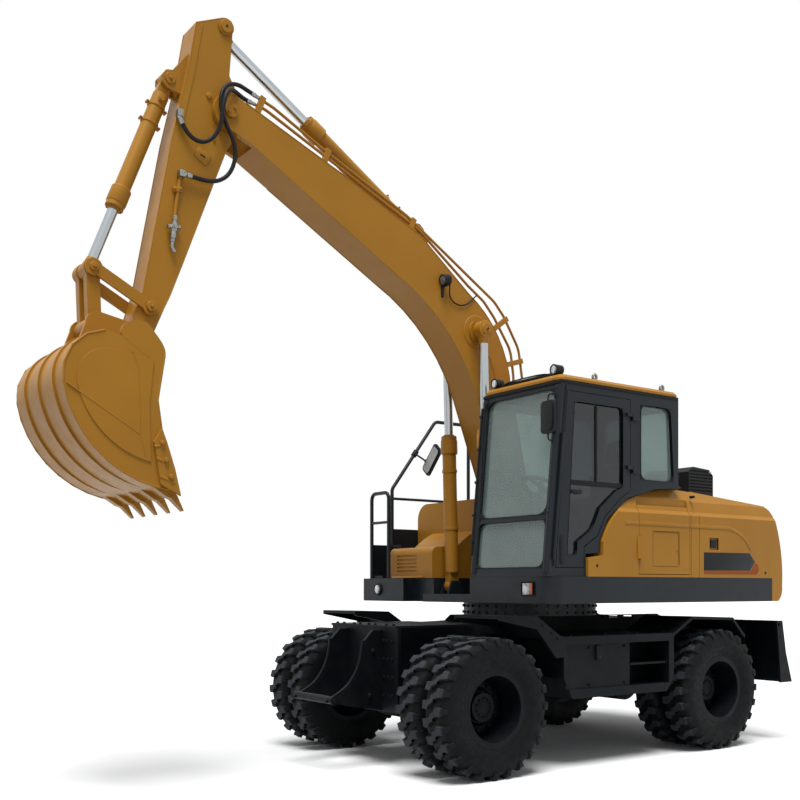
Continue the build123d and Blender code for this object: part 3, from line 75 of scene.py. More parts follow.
# ---- materials
def linear(code):
    """An sRGB hex colour as linear values."""
    values = [int(code[i:i + 2], 16) / 255 for i in (1, 3, 5)]
    return (*[v / 12.92 if v <= 0.04045 else ((v + 0.055) / 1.055) ** 2.4 for v in values], 1.0)


def add(tree, kind, sockets=None, **settings):
    """Add a shader node. A socket takes a value, a hex colour or the output that feeds it."""
    made = tree.nodes.new("ShaderNode" + kind)
    for name, value in settings.items():
        setattr(made, name, value)
    for name, value in (sockets or {}).items():
        if isinstance(value, bpy.types.NodeSocket):
            tree.links.new(value, made.inputs[name])
        else:
            made.inputs[name].default_value = linear(value) if isinstance(value, str) else value
    return made


def material(name, **sockets):
    """A new material and its tree, shader and Object coordinates."""
    made = bpy.data.materials.new(name)
    made.use_nodes = True
    tree = made.node_tree
    shader = tree.nodes["Principled BSDF"]
    for socket, value in sockets.items():
        shader.inputs[socket.replace("_", " ")].default_value = value
    place = add(tree, "TexCoord").outputs["Object"]
    return made, tree, shader, place


def mottle(tree, place, size_mm, detail, low, high, to_low=0.0, to_high=1.0):
    """Clouds in lumps of about this size, stretched between two limits."""
    noise = add(tree, "TexNoise", {"Vector": place, "Scale": 1 / (size_mm * MM),
                                   "Detail": detail, "Roughness": 0.55}).outputs[0]
    return add(tree, "MapRange", {0: noise, 1: low, 2: high, 3: to_low, 4: to_high}).outputs[0]


def coat(tree, shader, factor, colours, rough=None):
    """Colour by a factor between two colours, and between two roughnesses."""
    mixed = add(tree, "Mix", {0: factor, 6: colours[0], 7: colours[1]}, data_type="RGBA")
    tree.links.new(mixed.outputs[2], shader.inputs["Base Color"])
    if rough:
        ranged = add(tree, "MapRange", {0: factor, 3: rough[0], 4: rough[1]})
        tree.links.new(ranged.outputs[0], shader.inputs["Roughness"])


def raise_surface(tree, shader, height, distance_mm, strength, edge_mm=0):
    """Bump the surface by a height, over edges softened by this radius."""
    sockets = {"Height": height, "Distance": distance_mm * MM, "Strength": strength}
    if edge_mm:
        sockets["Normal"] = add(tree, "Bevel", {"Radius": edge_mm * MM}, samples=4).outputs[0]
    tree.links.new(add(tree, "Bump", sockets).outputs[0], shader.inputs["Normal"])


def enamel(name, colour, pale, dust, roughness, dust_low, dust_high, gloss):
    """Sprayed machine enamel: slight clouds in the colour, orange peel, and dust low down."""
    made, tree, shader, place = material(name, Specular_IOR_Level=gloss)
    clouds = mottle(tree, place, 700, 2, 0.35, 0.65)
    paint = add(tree, "Mix", {0: clouds, 6: colour, 7: pale}, data_type="RGBA").outputs[2]
    height = add(tree, "SeparateXYZ", {0: place}).outputs["Z"]
    low_down = add(tree, "MapRange", {0: height, 1: dust_high, 2: dust_low}).outputs[0]
    dusty = add(tree, "Math", {0: low_down, 1: mottle(tree, place, 120, 6, 0.42, 0.75)},
                operation="MULTIPLY").outputs[0]
    coat(tree, shader, dusty, (paint, dust))
    streaks = mottle(tree, place, 90, 4, 0.3, 0.7, roughness - 0.06, roughness + 0.08)
    tree.links.new(streaks, shader.inputs["Roughness"])
    raise_surface(tree, shader, mottle(tree, place, 7, 1, 0, 1), 0.25, 0.5, edge_mm=4)
    return made


def tyre_rubber():
    """Moulded tyre rubber: dull black, dust and painted highlight in grey on the lug tops."""
    made, tree, shader, place = material("moulded_tyre_rubber", Specular_IOR_Level=0.14)
    lug_top_dust_and_highlight = add(tree, "Attribute", attribute_name="tread").outputs["Fac"]
    cloud = mottle(tree, place, 35, 5, 0.3, 0.7, 0.35, 1.0)
    # The grey on the lug tops is part dust, part painted highlight.
    dusty = add(tree, "Math", {0: lug_top_dust_and_highlight, 1: cloud}, operation="MULTIPLY").outputs[0]
    coat(tree, shader, dusty, ("#07090A", "#3D4245"))
    rough = add(tree, "MapRange", {0: cloud, 1: 0.35, 2: 1.0, 3: 0.55, 4: 0.78}).outputs[0]
    tree.links.new(rough, shader.inputs["Roughness"])
    raise_surface(tree, shader, mottle(tree, place, 4, 4, 0, 1), 0.5, 0.6)
    return made


def metal(name, colour, pale, roughness, grain_mm, metallic=1.0):
    """A bare or plated metal with a fine mottled finish."""
    made, tree, shader, place = material(name, Metallic=metallic)
    coat(tree, shader, mottle(tree, place, grain_mm, 4, 0.3, 0.7), (colour, pale),
         (roughness * 0.8, roughness * 1.25))
    return made


def moulding(name, colour, pale, roughness, grain_mm, bump_mm):
    """Moulded plastic or rubber with a fine leathery grain."""
    made, tree, shader, place = material(name, Specular_IOR_Level=0.2)
    coat(tree, shader, mottle(tree, place, 60, 3, 0.3, 0.7), (colour, pale),
         (roughness, roughness + 0.12))
    raise_surface(tree, shader, mottle(tree, place, grain_mm, 3, 0, 1), bump_mm, 0.7)
    return made


def glazing(name, tint, roughness, clearness):
    """Tinted toughened glass: a grey-green body colour, and haze where it isn't clear."""
    made, tree, shader, place = material(
        name, IOR=1.52, Transmission_Weight=clearness, Roughness=roughness)
    coat(tree, shader, mottle(tree, place, 260, 3, 0.3, 0.75), tint)
    return made


def seat_cloth():
    """Woven seat cloth: warp and weft ridges, drawn at 6 mm so that they show."""
    made, tree, shader, place = material("woven_seat_cloth", Sheen_Weight=0.4)
    threads = [add(tree, "TexWave", {"Vector": place, "Scale": 52.0, "Distortion": 0.6},
                   bands_direction=axis).outputs["Fac"] for axis in ("X", "Z")]
    weave = add(tree, "Math", {0: threads[0], 1: threads[1]}, operation="MAXIMUM").outputs[0]
    coat(tree, shader, weave, ("#1C1E20", "#3A3D40"), (0.95, 0.8))
    raise_surface(tree, shader, weave, 1.0, 0.6)
    return made


# Each finish's material and its slot in the record.
SLOTS = {
    # Two-pack polyurethane enamel on welded plate: saturated, smooth, with a faint orange peel.
    "yellow": (enamel("two_pack_enamel_yellow", "#B07B27", "#A87424", "#94703C", 0.38, -0.5,
                      0.4, 0.2), "yellow_paint"),
    # The same enamel in blue-grey on the deck, cab and handrails.
    "slate": (enamel("two_pack_enamel_slate", "#161B1F", "#1B2126", "#2C2F30", 0.38, -0.5, 0.9,
                     0.22), "dark_paint"),
    # Chassis enamel: nearly black, duller, with dust where the wheels throw it.
    "chassis": (enamel("chassis_enamel_black", "#0A0D10", "#0F1316", "#1E2122", 0.45, -0.1, 1.1,
                       0.1), "dark_paint"),
    "rubber": (tyre_rubber(), "tyre"),
    # Hard chrome on ground bar: bright, with a faint haze along the stroke.
    "chrome": (metal("hard_chrome_on_ground_bar", "#B4BABD", "#ABB1B4", 0.2, 260), "chrome"),
    # Zinc-plated steel fittings and bolts: grey, slightly mottled.
    "zinc": (metal("zinc_plated_steel", "#9A9C98", "#7E807C", 0.38, 12), "steel"),
    # Dark cast and forged steel of the slewing ring and engine.
    "forged": (metal("forged_steel_oiled", "#2A2C2E", "#3A3C3D", 0.5, 25, metallic=0.6), "steel"),
    # Silvered and aluminised glass: clear mirrors, softer lamp bowls.
    "mirror": (metal("silvered_mirror_glass", "#D5DADC", "#C8CED0", 0.04, 400), "chrome"),
    "reflector": (metal("aluminised_reflector", "#E2E4E4", "#D0D2D2", 0.12, 200), "chrome"),
    # ABS and rubber trim: matt black with a leathery grain.
    "abs": (moulding("textured_abs_black", "#131516", "#1B1D1F", 0.5, 3, 0.3), "plastic"),
    "hose": (moulding("braided_hose_rubber", "#101112", "#1A1B1C", 0.45, 5, 0.4), "plastic"),
    # The seal finish also stands for the shade in holes and slots: painted shade.
    "seal_and_hole_shade": (moulding("extruded_epdm_seal_and_hole_shade", "#0C0D0E", "#141516", 0.6, 5, 0.2), "plastic"),
    # Flat stripes and plates: an even sheen and next to no grain.
    "stripe": (moulding("screen_enamel_orange", "#9A4A14", "#934510", 0.4, 6, 0.05),
               "yellow_paint"),
    "plate": (moulding("anodised_plate_charcoal", "#15181B", "#1A1D20", 0.4, 2, 0.1),
              "dark_paint"),
    "cloth": (seat_cloth(), "seat_fabric"),
    # The front, side and rear panes carry a film of haze; the door's glass is darker.
    "glass": (glazing("tinted_toughened_glass", ("#A9BDB8", "#9DB2AC"), 0.0, 0.72), "glass"),
    "dark glass": (glazing("dark_toughened_glass", ("#46535A", "#3F4B52"), 0.0, 0.93), "glass"),
    # Moulded polycarbonate: clear over the lamps, amber over the turn signal.
    "lens": (glazing("clear_polycarbonate_lens", ("#F4F5F5", "#E8ECEC"), 0.05, 0.8), "glass"),
    "amber": (glazing("amber_polycarbonate_lens", ("#D9731C", "#CC6815"), 0.1, 0.4), "glass")}

CORNERS = ("front_left", "front_right", "rear_left", "rear_right")
NODE_FINISHES = {
    "yellow": ("counterweight", "hood", "hood_lid", "service_door", "right_body", "cab_roof",
               "boom", "arm", "bucket", "guide_links", "bucket_link", "boom_barrels",
               "arm_barrel", "bucket_barrel", "boom_pipes"),
    "slate": ("deck", "cab_frame", "cab_door", "cab_fittings", "handrail", "step_rail"),
    "chassis": ("chassis_frame", "front_bracket", "front_axle", "rear_axle", "drive_shafts",
                "knuckle_left", "knuckle_right", "side_boxes", "front_fenders", "rear_fenders",
                "blade", "blade_barrels", *[f"rims_{corner}" for corner in CORNERS]),
    "chrome": ("boom_rods", "arm_rod", "bucket_rod", "blade_rods", "steering_rod"),
    "forged": ("slew_ring", "engine"),
    "abs": ("controls", "mirrors", "lamps", "hood_grille", "boom_lamp"),
    "zinc": ("arm_fittings",),
    "hose": ("hose_upper", "hose_lower"),
    "cloth": ("seat",),
    "glass": ("cab_glass",),
    "dark glass": ("cab_door_glass",),
    "rubber": [f"tyres_{corner}" for corner in CORNERS]}
for finish, names in NODE_FINISHES.items():
    for name in names:
        node = frame["nodes"][name]
        if not node.material_slots:
            node.data.materials.append(None)
        for slot in node.material_slots:
            slot.material = SLOTS[finish][0]


# ---- mesh helpers
def new_object(name, data):
    """An object of this data, linked to the scene."""
    made = bpy.data.objects.new(name, data)
    bpy.context.scene.collection.objects.link(made)
    return made


bm = bmesh.new()            # the shape under work, to which every shape below is added


def finished_mesh(name):
    """The shape under work as a mesh. A fresh one takes its place."""
    global bm
    mesh = bpy.data.meshes.new(name)
    bm.to_mesh(mesh)
    bm.free()
    bm = bmesh.new()
    return mesh


def piece(name, finish, body, sharp=32, round_mm=0.0, stands_for=()):
    """Make an object of the shape under work, in a finish, and let it ride on a body."""
    if round_mm:
        edges = [edge for edge in bm.edges
                 if len(edge.link_faces) == 2 and edge.calc_face_angle() > radians(25)]
        bmesh.ops.bevel(bm, geom=edges, offset=round_mm * MM, segments=2, profile=0.5,
                        affect="EDGES", material=-1, clamp_overlap=True)
    bmesh.ops.recalc_face_normals(bm, faces=bm.faces)
    mesh = finished_mesh(name)
    mesh.shade_smooth()
    mesh.set_sharp_from_angle(angle=radians(sharp))
    made = new_object(name, mesh)
    look, record_slot = SLOTS[finish]
    mesh.materials.append(look)
    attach(made, body)
    if stands_for:
        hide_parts(*stands_for)
    return made


def take_in(mesh):
    """Move a mesh into the shape under work."""
    bm.from_mesh(mesh)
    bpy.data.meshes.remove(mesh)


def push(faces, offset):
    """Extrude faces by an offset."""
    grown = bmesh.ops.extrude_face_region(bm, geom=faces)["geom"]
    moved = [item for item in grown if isinstance(item, bmesh.types.BMVert)]
    bmesh.ops.translate(bm, verts=moved, vec=offset)


def bar(start, end, radius_mm, end_radius_mm=None, sides=24):
    """A round bar or cone between two points."""
    run = end - start
    turn = run.to_track_quat("Z", "Y").to_matrix().to_4x4()
    far = radius_mm if end_radius_mm is None else end_radius_mm
    bmesh.ops.create_cone(
        bm, cap_ends=True, segments=sides, radius1=radius_mm * MM, radius2=far * MM,
        depth=run.length, matrix=Matrix.Translation((start + end) / 2) @ turn)


def block(low, high):
    """A box between two corners."""
    middle, size = Matrix.Translation((low + high) / 2), Matrix.Diagonal((*(high - low), 1))
    bmesh.ops.create_cube(bm, size=1, matrix=middle @ size)


def round_corners(face, round_mm, segments=6):
    """Round the corners of a face that stands alone, and give the rounded face."""
    rounded = bmesh.ops.bevel(
        bm, geom=face.verts[:], offset=round_mm * MM, segments=segments, profile=0.5,
        affect="VERTICES", material=-1, clamp_overlap=True)
    return rounded["verts"][0].link_faces[0]


def plate(corners, offset, corner_mm=0):
    """A plate: a flat outline, with its corners rounded or not, pushed through by an offset."""
    face = bm.faces.new([bm.verts.new(corner) for corner in corners])
    if corner_mm:
        face = round_corners(face, corner_mm)
    push([face], offset)


def lathe(profile, centre, steps=48, axis=Y):
    """Turn (along, radius) points about an axis. A profile that ends on the axis is open."""
    closed = profile[-1][1] > 0
    outward = axis.orthogonal().normalized()
    start = [bm.verts.new(centre + axis * along * MM + outward * radius * MM)
             for along, radius in profile]
    edges = [bm.edges.new(pair) for pair in zip(start, start[1:])]
    if closed:
        edges.append(bm.edges.new((start[-1], start[0])))
    bmesh.ops.spin(
        bm, geom=start + edges, cent=centre, axis=axis, angle=2 * pi, steps=steps, use_merge=True)
    if not closed:
        bmesh.ops.remove_doubles(bm, verts=bm.verts[:], dist=1e-5)


def bolt(seat, axis, across=24):
    """A hexagon head on its washer, standing on a seat."""
    bar(seat, seat + axis * across * 0.16 * MM, across * 0.72, sides=20)
    top = seat + axis * across * 0.6 * MM
    bar(seat + axis * across * 0.16 * MM, top, across * 0.57, sides=6)
    bar(top, top + axis * across * 0.1 * MM, across * 0.57, across * 0.47, sides=6)


def spokes(count, axis, first, turn=0.0):
    """Directions at equal steps round an axis."""
    return [Matrix.Rotation(2 * pi * step / count + turn, 3, axis) @ first
            for step in range(count)]


def surround(corners, offset, width_mm, round_mm):
    """A flat frame inside an outline: sharp outside, rounded inside, pushed by an offset."""
    probe = bm.faces.new([bm.verts.new(corner) for corner in corners])
    rim = bmesh.ops.inset_individual(
        bm, faces=[probe], thickness=width_mm * MM, use_even_offset=True)["faces"]
    inside = [vert.co.copy() for vert in probe.verts]
    bmesh.ops.delete(bm, geom=[probe, *rim], context="FACES")
    outside = [bm.verts.new(corner) for corner in corners]
    loops = [bm.edges.new(pair) for pair in zip(outside, outside[1:] + outside[:1])]
    hole = round_corners(bm.faces.new([bm.verts.new(place) for place in inside]), round_mm)
    loops += hole.edges[:]
    bmesh.ops.delete(bm, geom=[hole], context="FACES_ONLY")
    filled = bmesh.ops.triangle_fill(bm, edges=loops, use_beauty=True, use_dissolve=False)
    push([item for item in filled["geom"] if isinstance(item, bmesh.types.BMFace)], offset)


def spline_mesh(points, radius_mm=0.0, steps=12):
    """A mesh along the NURBS spline through control points: a tube, or its centreline."""
    curve = bpy.data.curves.new("route", "CURVE")
    curve.dimensions, curve.resolution_u = "3D", steps
    curve.bevel_depth, curve.bevel_resolution, curve.use_fill_caps = radius_mm * MM, 4, True
    spline = curve.splines.new("NURBS")
    spline.points.add(len(points) - 1)
    for point, place in zip(spline.points, points):
        point.co = (*place, 1)
    spline.order_u = 3
    spline.use_endpoint_u = True
    holder = new_object("route", curve)
    bpy.context.view_layer.update()
    seen = holder.evaluated_get(bpy.context.evaluated_depsgraph_get())
    mesh = bpy.data.meshes.new_from_object(seen)
    bpy.data.objects.remove(holder)
    bpy.data.curves.remove(curve)
    return mesh


def tube(points, radius_mm, steps=8):
    """A round tube that bends along control points."""
    take_in(spline_mesh(points, radius_mm, steps))


def seam(line, y, radius_mm=5):
    """A weld bead along the (x, z) points of a line."""
    places = on_side(y, line)
    for start, end in zip(places, places[1:]):
        bar(start, end, radius_mm, sides=10)


def bead(line, y, radius_mm=4):
    """A weld bead along an edge, on both sides of the machine."""
    seam(line, y, radius_mm)
    seam(line, -y, radius_mm)


def pin_cap(x, y, z, radius_mm, hand, bolts=1):
    """A pin's end plate, turned and chamfered, with its keeper bolt or bolts."""
    seat, out = at(x, hand * y, z), Y * hand
    lathe([(-1, 0), (-1, radius_mm), (7, radius_mm), (10, radius_mm - 3), (10, 0)], seat, 32, out)
    reach = radius_mm * 0.55 if bolts > 1 else 0
    for aim in spokes(bolts, "Y", X, 0.6):
        bolt(seat + aim * reach * MM + out * 0.010, out, 20)


# ---- tyres
TYRE_RADIUS = 515
FRONT_X, REAR_X = 1450, 1450 - 2545
OUTER_Y, INNER_Y = 1117.5, 797.5
# The last: how much of the lug tops' dust and painted highlight the rest of each lug takes.
LUGS, LUG_LIMIT, GROOVE_DUST_AND_HIGHLIGHT = 24, 127.3, 0.12
SHOULDER_START, SHOULDER_RUN, SHOULDER_REACH, SHOULDER_TURN = 98, 60, 28.5, radians(78)
CASING = [(0, 490), (62, 489), (92, 485), (108, 474), (118, 455), (124, 432), (127, 405),
          (127, 378), (124.5, 352), (122, 346), (123, 341), (121, 334), (117, 322), (112, 308),
          (107, 296), (104.5, 287), (94.4, 287), (94.4, 257)]
# A lug's sections: distance from the middle, the two edges along the tread, and thickness.
LUG_STATIONS = [
    (-16, 6, 34, 40), (4, 2, 42, 42), (24, -14, 40, 42), (36, -20, 26, 42), (44, -44, 28, 42),
    (58, -48, 24, 42), (80, -46, 22, 42), (98, -42, 20, 42), (114, -38, 16, 40),
    (130, -36, 12, 30), (150, -34, 8, 18), (172, -30, 2, 5)]


def lug_corner(distance, along, depth):
    """A lug's corner about the origin: over the tread, then bent down the shoulder."""
    across, radius, lean = distance, TYRE_RADIUS, 0.0
    past = distance - SHOULDER_START
    if past > 0:
        lean = min(past / SHOULDER_RUN, 1.0) * SHOULDER_TURN
        across = SHOULDER_START + SHOULDER_REACH * sin(lean)
        radius -= 0.62 * past + 22 * (1 - cos(lean))
    across -= depth * sin(lean)
    radius -= depth * cos(lean)
    angle = along / TYRE_RADIUS
    return Vector((radius * sin(angle), min(across, LUG_LIMIT), radius * cos(angle))) * MM


def one_tyre():
    """A tyre about the origin, axis along Y, with the dust and painted highlight on its lug tops.
    """
    bm.verts.layers.float.new("tread")
    profile = CASING + [(-across, radius) for across, radius in reversed(CASING[1:])]
    lathe(profile, Vector((0, 0, 0)), 96)
    for half in (0, 1):
        lug = bmesh.new()
        top = lug.verts.layers.float.new("tread")
        face = None
        for distance, low, high, depth in LUG_STATIONS:
            corners = [(low + 3, 0), (high - 3, 0), (high + 2, depth), (low - 2, depth)]
            places = [lug_corner(distance, along, inward) for along, inward in corners]
            if face is None:
                face = lug.faces.new([lug.verts.new(place) for place in places])
            else:
                face = bmesh.ops.extrude_discrete_faces(lug, faces=[face])["faces"][0]
                for vert, place in zip(face.verts, places):
                    vert.co = place
        bmesh.ops.recalc_face_normals(lug, faces=lug.faces)
        for vert in lug.verts:
            # Lug tops carry the full dust and painted highlight; the rest of each lug a little of
            # it.
            on_top = Vector((vert.co.x, vert.co.z)).length > (TYRE_RADIUS - 8) * MM
            vert[top] = 1.0 if on_top else GROOVE_DUST_AND_HIGHLIGHT
        if half:
            half_pitch = Matrix.Rotation(pi / LUGS, 3, "Y") @ Matrix.Rotation(pi, 3, "Z")
            bmesh.ops.rotate(lug, verts=lug.verts, cent=(0, 0, 0), matrix=half_pitch)
        bmesh.ops.spin(
            lug, geom=lug.verts[:] + lug.edges[:] + lug.faces[:], cent=(0, 0, 0), axis=Y,
            angle=2 * pi * (LUGS - 1) / LUGS, steps=LUGS - 1, use_duplicate=True)
        mesh = bpy.data.meshes.new("lug")
        lug.to_mesh(mesh)
        lug.free()
        take_in(mesh)
    return finished_mesh("tyre_model")


tyre_model = one_tyre()

WHEELS = list(zip(CORNERS, (FRONT_X, FRONT_X, REAR_X, REAR_X), (1, -1, 1, -1)))
for tag, axle_x, hand in WHEELS:
    for across, flip in ((OUTER_Y, hand), (INNER_Y, -hand)):
        count = len(bm.verts)
        bm.from_mesh(tyre_model)
        bm.verts.ensure_lookup_table()
        turned = Matrix.Rotation(0 if flip > 0 else pi, 4, "Z")
        moved = Matrix.Translation(at(axle_x, hand * across, TYRE_RADIUS)) @ turned
        bmesh.ops.transform(bm, matrix=moved, verts=bm.verts[count:])
    piece(f"tyre_pair_{tag}", "rubber", f"wheels_{tag}", sharp=40, stands_for=(f"tyres_{tag}",))

# ---- rims
DISC_Y = (OUTER_Y + INNER_Y) / 2
WHEEL_NUTS = 10
for tag, axle_x, hand in WHEELS:
    hub, out = at(axle_x, hand * DISC_Y, TYRE_RADIUS), Y * hand
    # The lock ring on the outer flange, the disc's pressed swage and the hub's cover.
    lathe([(256, 241), (258, 262), (266, 284), (263, 289), (254, 290), (250, 285), (250, 241)],
          hub, 72, out)
    lathe([(14, 240), (26, 224), (44, 204), (50, 176), (46, 150), (24, 128), (14, 119)], hub, 72,
          out)
    lathe([(75, 100), (92, 108), (106, 104), (119, 80), (130, 46), (132, 0)], hub, 48, out)
    for spoke in spokes(WHEEL_NUTS, out, X, pi / WHEEL_NUTS):
        bolt(hub + spoke * 0.172 + out * 0.049, out, 30)
        bolt(hub + spoke * 0.062 + out * 0.123, out, 16)
    piece(f"rim_fittings_{tag}", "chassis", f"wheels_{tag}")

# ---- undercarriage
SIDE = 1245                 # half the width over the deck, hood and blade
BLADE_SIDE, BLADE_BOLTS = SIDE - 7, ((-1930, 950), (-1990, 740), (-2045, 590))
RING_RADIUS, RING_ROWS, RING_BOLTS = 585, (1176, 1232), 40
for row_z in RING_ROWS:
    for aim in spokes(RING_BOLTS, "Z", X):
        bolt(at(0, 0, row_z) + aim * RING_RADIUS * MM, aim, 20)
piece("ring_bolts", "forged", "chassis")

# The bracket's top and face, the tool boxes, their tops, the steps and the blade's ends.
for hand in (1, -1):
    rows = [
        (Z, 20, [(1770, y, 1098) for y in (60, 150, 300, 400)]),
        (X, 22, [(1780, y, z) for y in (290, 345, 400) for z in (560, 700, 840, 980)]),
        (Y * hand, 18, [(x, 1196, z) for z in (925, 640) for x in (80, 480)]),
        (Z, 18, [(x, 1160, 1015) for x in (-420, -100, 260, 640)]),
        (Y * hand, 16, [(835, 1220, 1005), (900, 1220, 1050), (990, 1220, 1110)]),
        (Y * hand, 14, [(x, BLADE_SIDE, z) for x, z in BLADE_BOLTS])]
    for axis, across, places in rows:
        for x, y, z in places:
            bolt(at(x, hand * y, z), axis, across)
for y in range(-1050, 1051, 210):
    bolt(at(-2042, y, 560), Vector((-0.95, 0, 0.3)).normalized(), 26)
piece("chassis_bolts", "chassis", "chassis")

# Raised treads on the side boxes' tops and steps: height, rows and columns.
TREADS = ((1015, (1080, 1120, 1160, 1200), range(-450, 751, 60)),
          (785, (1010, 1060, 1110, 1160), range(-400, 1, 50)))
for hand in (1, -1):
    for base_z, rows, columns in TREADS:
        for index, y in enumerate(rows):
            for x in columns:
                lean = Matrix.Rotation(radians(45 if (index + x // 10) % 2 else -45), 4, "Z")
                place = Matrix.Translation(at(x, hand * y, base_z)) @ lean
                bmesh.ops.create_cone(
                    bm, cap_ends=True, segments=8, radius1=0.014, radius2=0.008, depth=0.004,
                    matrix=place @ Matrix.Diagonal((1, 0.4, 1, 1)))
piece("step_treads", "chassis", "chassis")

# The tool boxes' latches and the bracket's rolled edges.
for hand in (1, -1):
    low, high = sorted((hand * 1198, hand * 1210))
    block(at(362, low, 832), at(398, high, 934))
    bar(at(380, hand * 1210, 850), at(380, hand * 1216, 850), 14, sides=24)
piece("box_latches", "abs", "chassis", round_mm=3)
edge_line = [(1945, 985), (1955, 850), (2035, 690), (2150, 590), (2283, 536)]
for y in (236, -236):
    tube(on_side(y, edge_line), 12)
    for x, z in ((1860, 900), (1890, 560)):
        pin_cap(x, 250, z, 20, 1 if y > 0 else -1)
for hand in (1, -1):
    pin_cap(2240, 290, 545, 34, hand)
piece("bracket_trim", "chassis", "chassis")

# ---- engine hood and counterweight
# Thin trim on the sides: name, finish, body, inset, thickness, rounding and outline.
FLAT_TRIM = [("belt_crease_0", "yellow", "upper", 0.5, 3.5, 1.4,
              ((125, 1918), (125, 1890), (-34, 1890), (-34, 1920))),
             ("belt_crease_1", "yellow", "service_door", 0.5, 3.5, 1.4,
              ((-46, 1920), (-46, 1890), (-654, 1888), (-654, 1918))),
             ("belt_crease_2", "yellow", "upper", 0.5, 3.5, 1.4,
              ((-666, 1918), (-666, 1888), (-1180, 1886), (-1290, 1862), (-1400, 1800),
               (-1480, 1712), (-1508, 1724), (-1424, 1822), (-1308, 1888), (-1185, 1916))),
             ("blank_plate", "plate", "upper", 0, 3, 1,
              ((-845, 1535), (-845, 1688), (-1468, 1692), (-1545, 1616), (-1474, 1540))),
             ("stripe", "stripe", "upper", 0, 1.5, 0,
              ((-845, 1506), (-845, 1529), (-1482, 1533), (-1556, 1608), (-1592, 1590),
               (-1600, 1540), (-1572, 1506)))]
for hands, trims in (((1,), FLAT_TRIM[:2]), ((1, -1), FLAT_TRIM[2:3]), ((1, -1), FLAT_TRIM[3:])):
    for hand in hands:
        for name, finish, body, inset, thickness, rounding, outline in trims:
            plate(on_side(hand * (SIDE - inset), outline), Y * hand * thickness * MM)
            piece(f"{name}_{'left' if hand > 0 else 'right'}", finish, body, round_mm=rounding)
# The flush latch and its lever, the panels' black bolts, and the service door's plugs and seam.
surround(on_side(SIDE - 12, rectangle(-1038, 1714, -922, 1810)), Y * 0.011, 12, 14)
block(at(-1020, SIDE - 13, 1730), at(-940, SIDE - 4, 1796))
piece("panel_latch", "abs", "upper", round_mm=2)
for x, z in ((-715, 2150), (-1700, 1520), (440, 1560)):
    bar(at(x, SIDE - 40 if z > 2000 else SIDE - 1, z), at(x, SIDE + 3, z), 13, 11)
piece("panel_bolts", "abs", "upper", round_mm=1)
for x, z, radius in ((-500, 1700, 9), (-600, 1545, 14)):
    bar(at(x, SIDE - 6, z), at(x, SIDE + 2, z), radius, radius - 2)
surround(on_side(SIDE - 5, rectangle(-526, 1564, -204, 1846)), Y * 0.004, 10, 22)
piece("service_door_trim", "yellow", "service_door", round_mm=1)
LID_SLOPE = 0.0764
for y0, y1, x in ((-1100, -640, -1300), (-1100, -640, -760), (640, 1100, -1560)):
    for y in (y0, y1):
        bolt(at(x, y, 2208 + (x + 620) * LID_SLOPE), Z, 20)
piece("lid_bolts", "yellow", "hood_lid")
# Thin slats on both ends of the breather box, and its cap.
for slat in range(7):
    z = 2241 + 28 * slat
    for y in (505, 1005):
        bar(at(-1255, y, z), at(-955, y, z + 1), 2.4, sides=8)
bar(at(-1105, 760, 2436), at(-1105, 760, 2452), 62, 54)
piece("breather_detail", "abs", "hood_lid")
# The counterweight's lifting sockets and bolts.
for y in (-700, 700):
    lathe([(-1, 20), (-1, 58), (6, 58), (10, 50), (10, 20)], at(-1900, y, 2078), 40, Z)
for z in (1420, 1560):
    for y in (-420, 420):
        bolt(at(-2118 + (z - 1420) * 0.02, y, z), -X, 34)
piece("counterweight_fittings", "yellow", "upper")

# ---- deck and lamps
block(at(926, -790, 1475), at(951, -330, 1492))
piece("deck_lip", "yellow", "upper", round_mm=3)
SQUARE = rectangle(955, 1325, 1085, 1435)
HEADLAMP_X = 958
ROOF_LAMPS, ROOF_LAMP_Z = (430, 1120), 3056
RIGHT_HEADLAMP = (-1000, 1375)
surround(on_front(HEADLAMP_X - 1, SQUARE), X * 0.009, 10, 12)
lathe([(-1, 43), (-1, 55), (5, 55), (8, 51), (8, 45), (3, 43)], at(HEADLAMP_X, *RIGHT_HEADLAMP),
      48, X)
for y in ROOF_LAMPS:
    lathe([(0, 33), (0, 40), (9, 41), (10, 36), (4, 33)], at(778, y, ROOF_LAMP_Z), 40, X)
    for side in (-1, 1):
        bolt(at(740, y + side * 12, 3012), Y * side, 12)
    block(at(722, y - 20, 3009), at(766, y + 20, 3015))
# The visor bar over the roof's front edge, on two feet, and the lamps' cable on it.
bar(at(742, 490, 3034), at(742, 1070, 3034), 12)
for y in (520, 1040):
    block(at(728, y - 14, 3009), at(758, y + 14, 3030))
tube([at(742, 430, 3018), at(752, 480, 3022), at(760, 560, 3046), at(760, 775, 3050),
      at(760, 1000, 3046), at(752, 1070, 3022), at(742, 1108, 3018)], 6)
piece("lamp_bezels", "abs", "upper", round_mm=1)
GLASS_X = HEADLAMP_X + 2.5
plate(on_front(GLASS_X, rectangle(966, 1336, 1043, 1424)), X * 0.004)
lathe([(0, 43), (5, 40), (9, 26), (11, 0)], at(HEADLAMP_X + 2, *RIGHT_HEADLAMP), 40, X)
for y in ROOF_LAMPS:
    lathe([(0, 33.5), (4, 30), (7, 18), (8, 0)], at(780, y, ROOF_LAMP_Z), 40, X)
piece("lamp_lenses", "lens", "upper", round_mm=1)
plate(on_front(GLASS_X, rectangle(1046, 1336, 1074, 1424)), X * 0.004)
piece("turn_signal_lens", "amber", "upper", round_mm=1)
plate(on_front(HEADLAMP_X + 0.6, rectangle(967, 1337, 1073, 1423)), X * 0.0012)
bowls = [(HEADLAMP_X + 1, *RIGHT_HEADLAMP, 42)] + [(781, y, ROOF_LAMP_Z, 30) for y in ROOF_LAMPS]
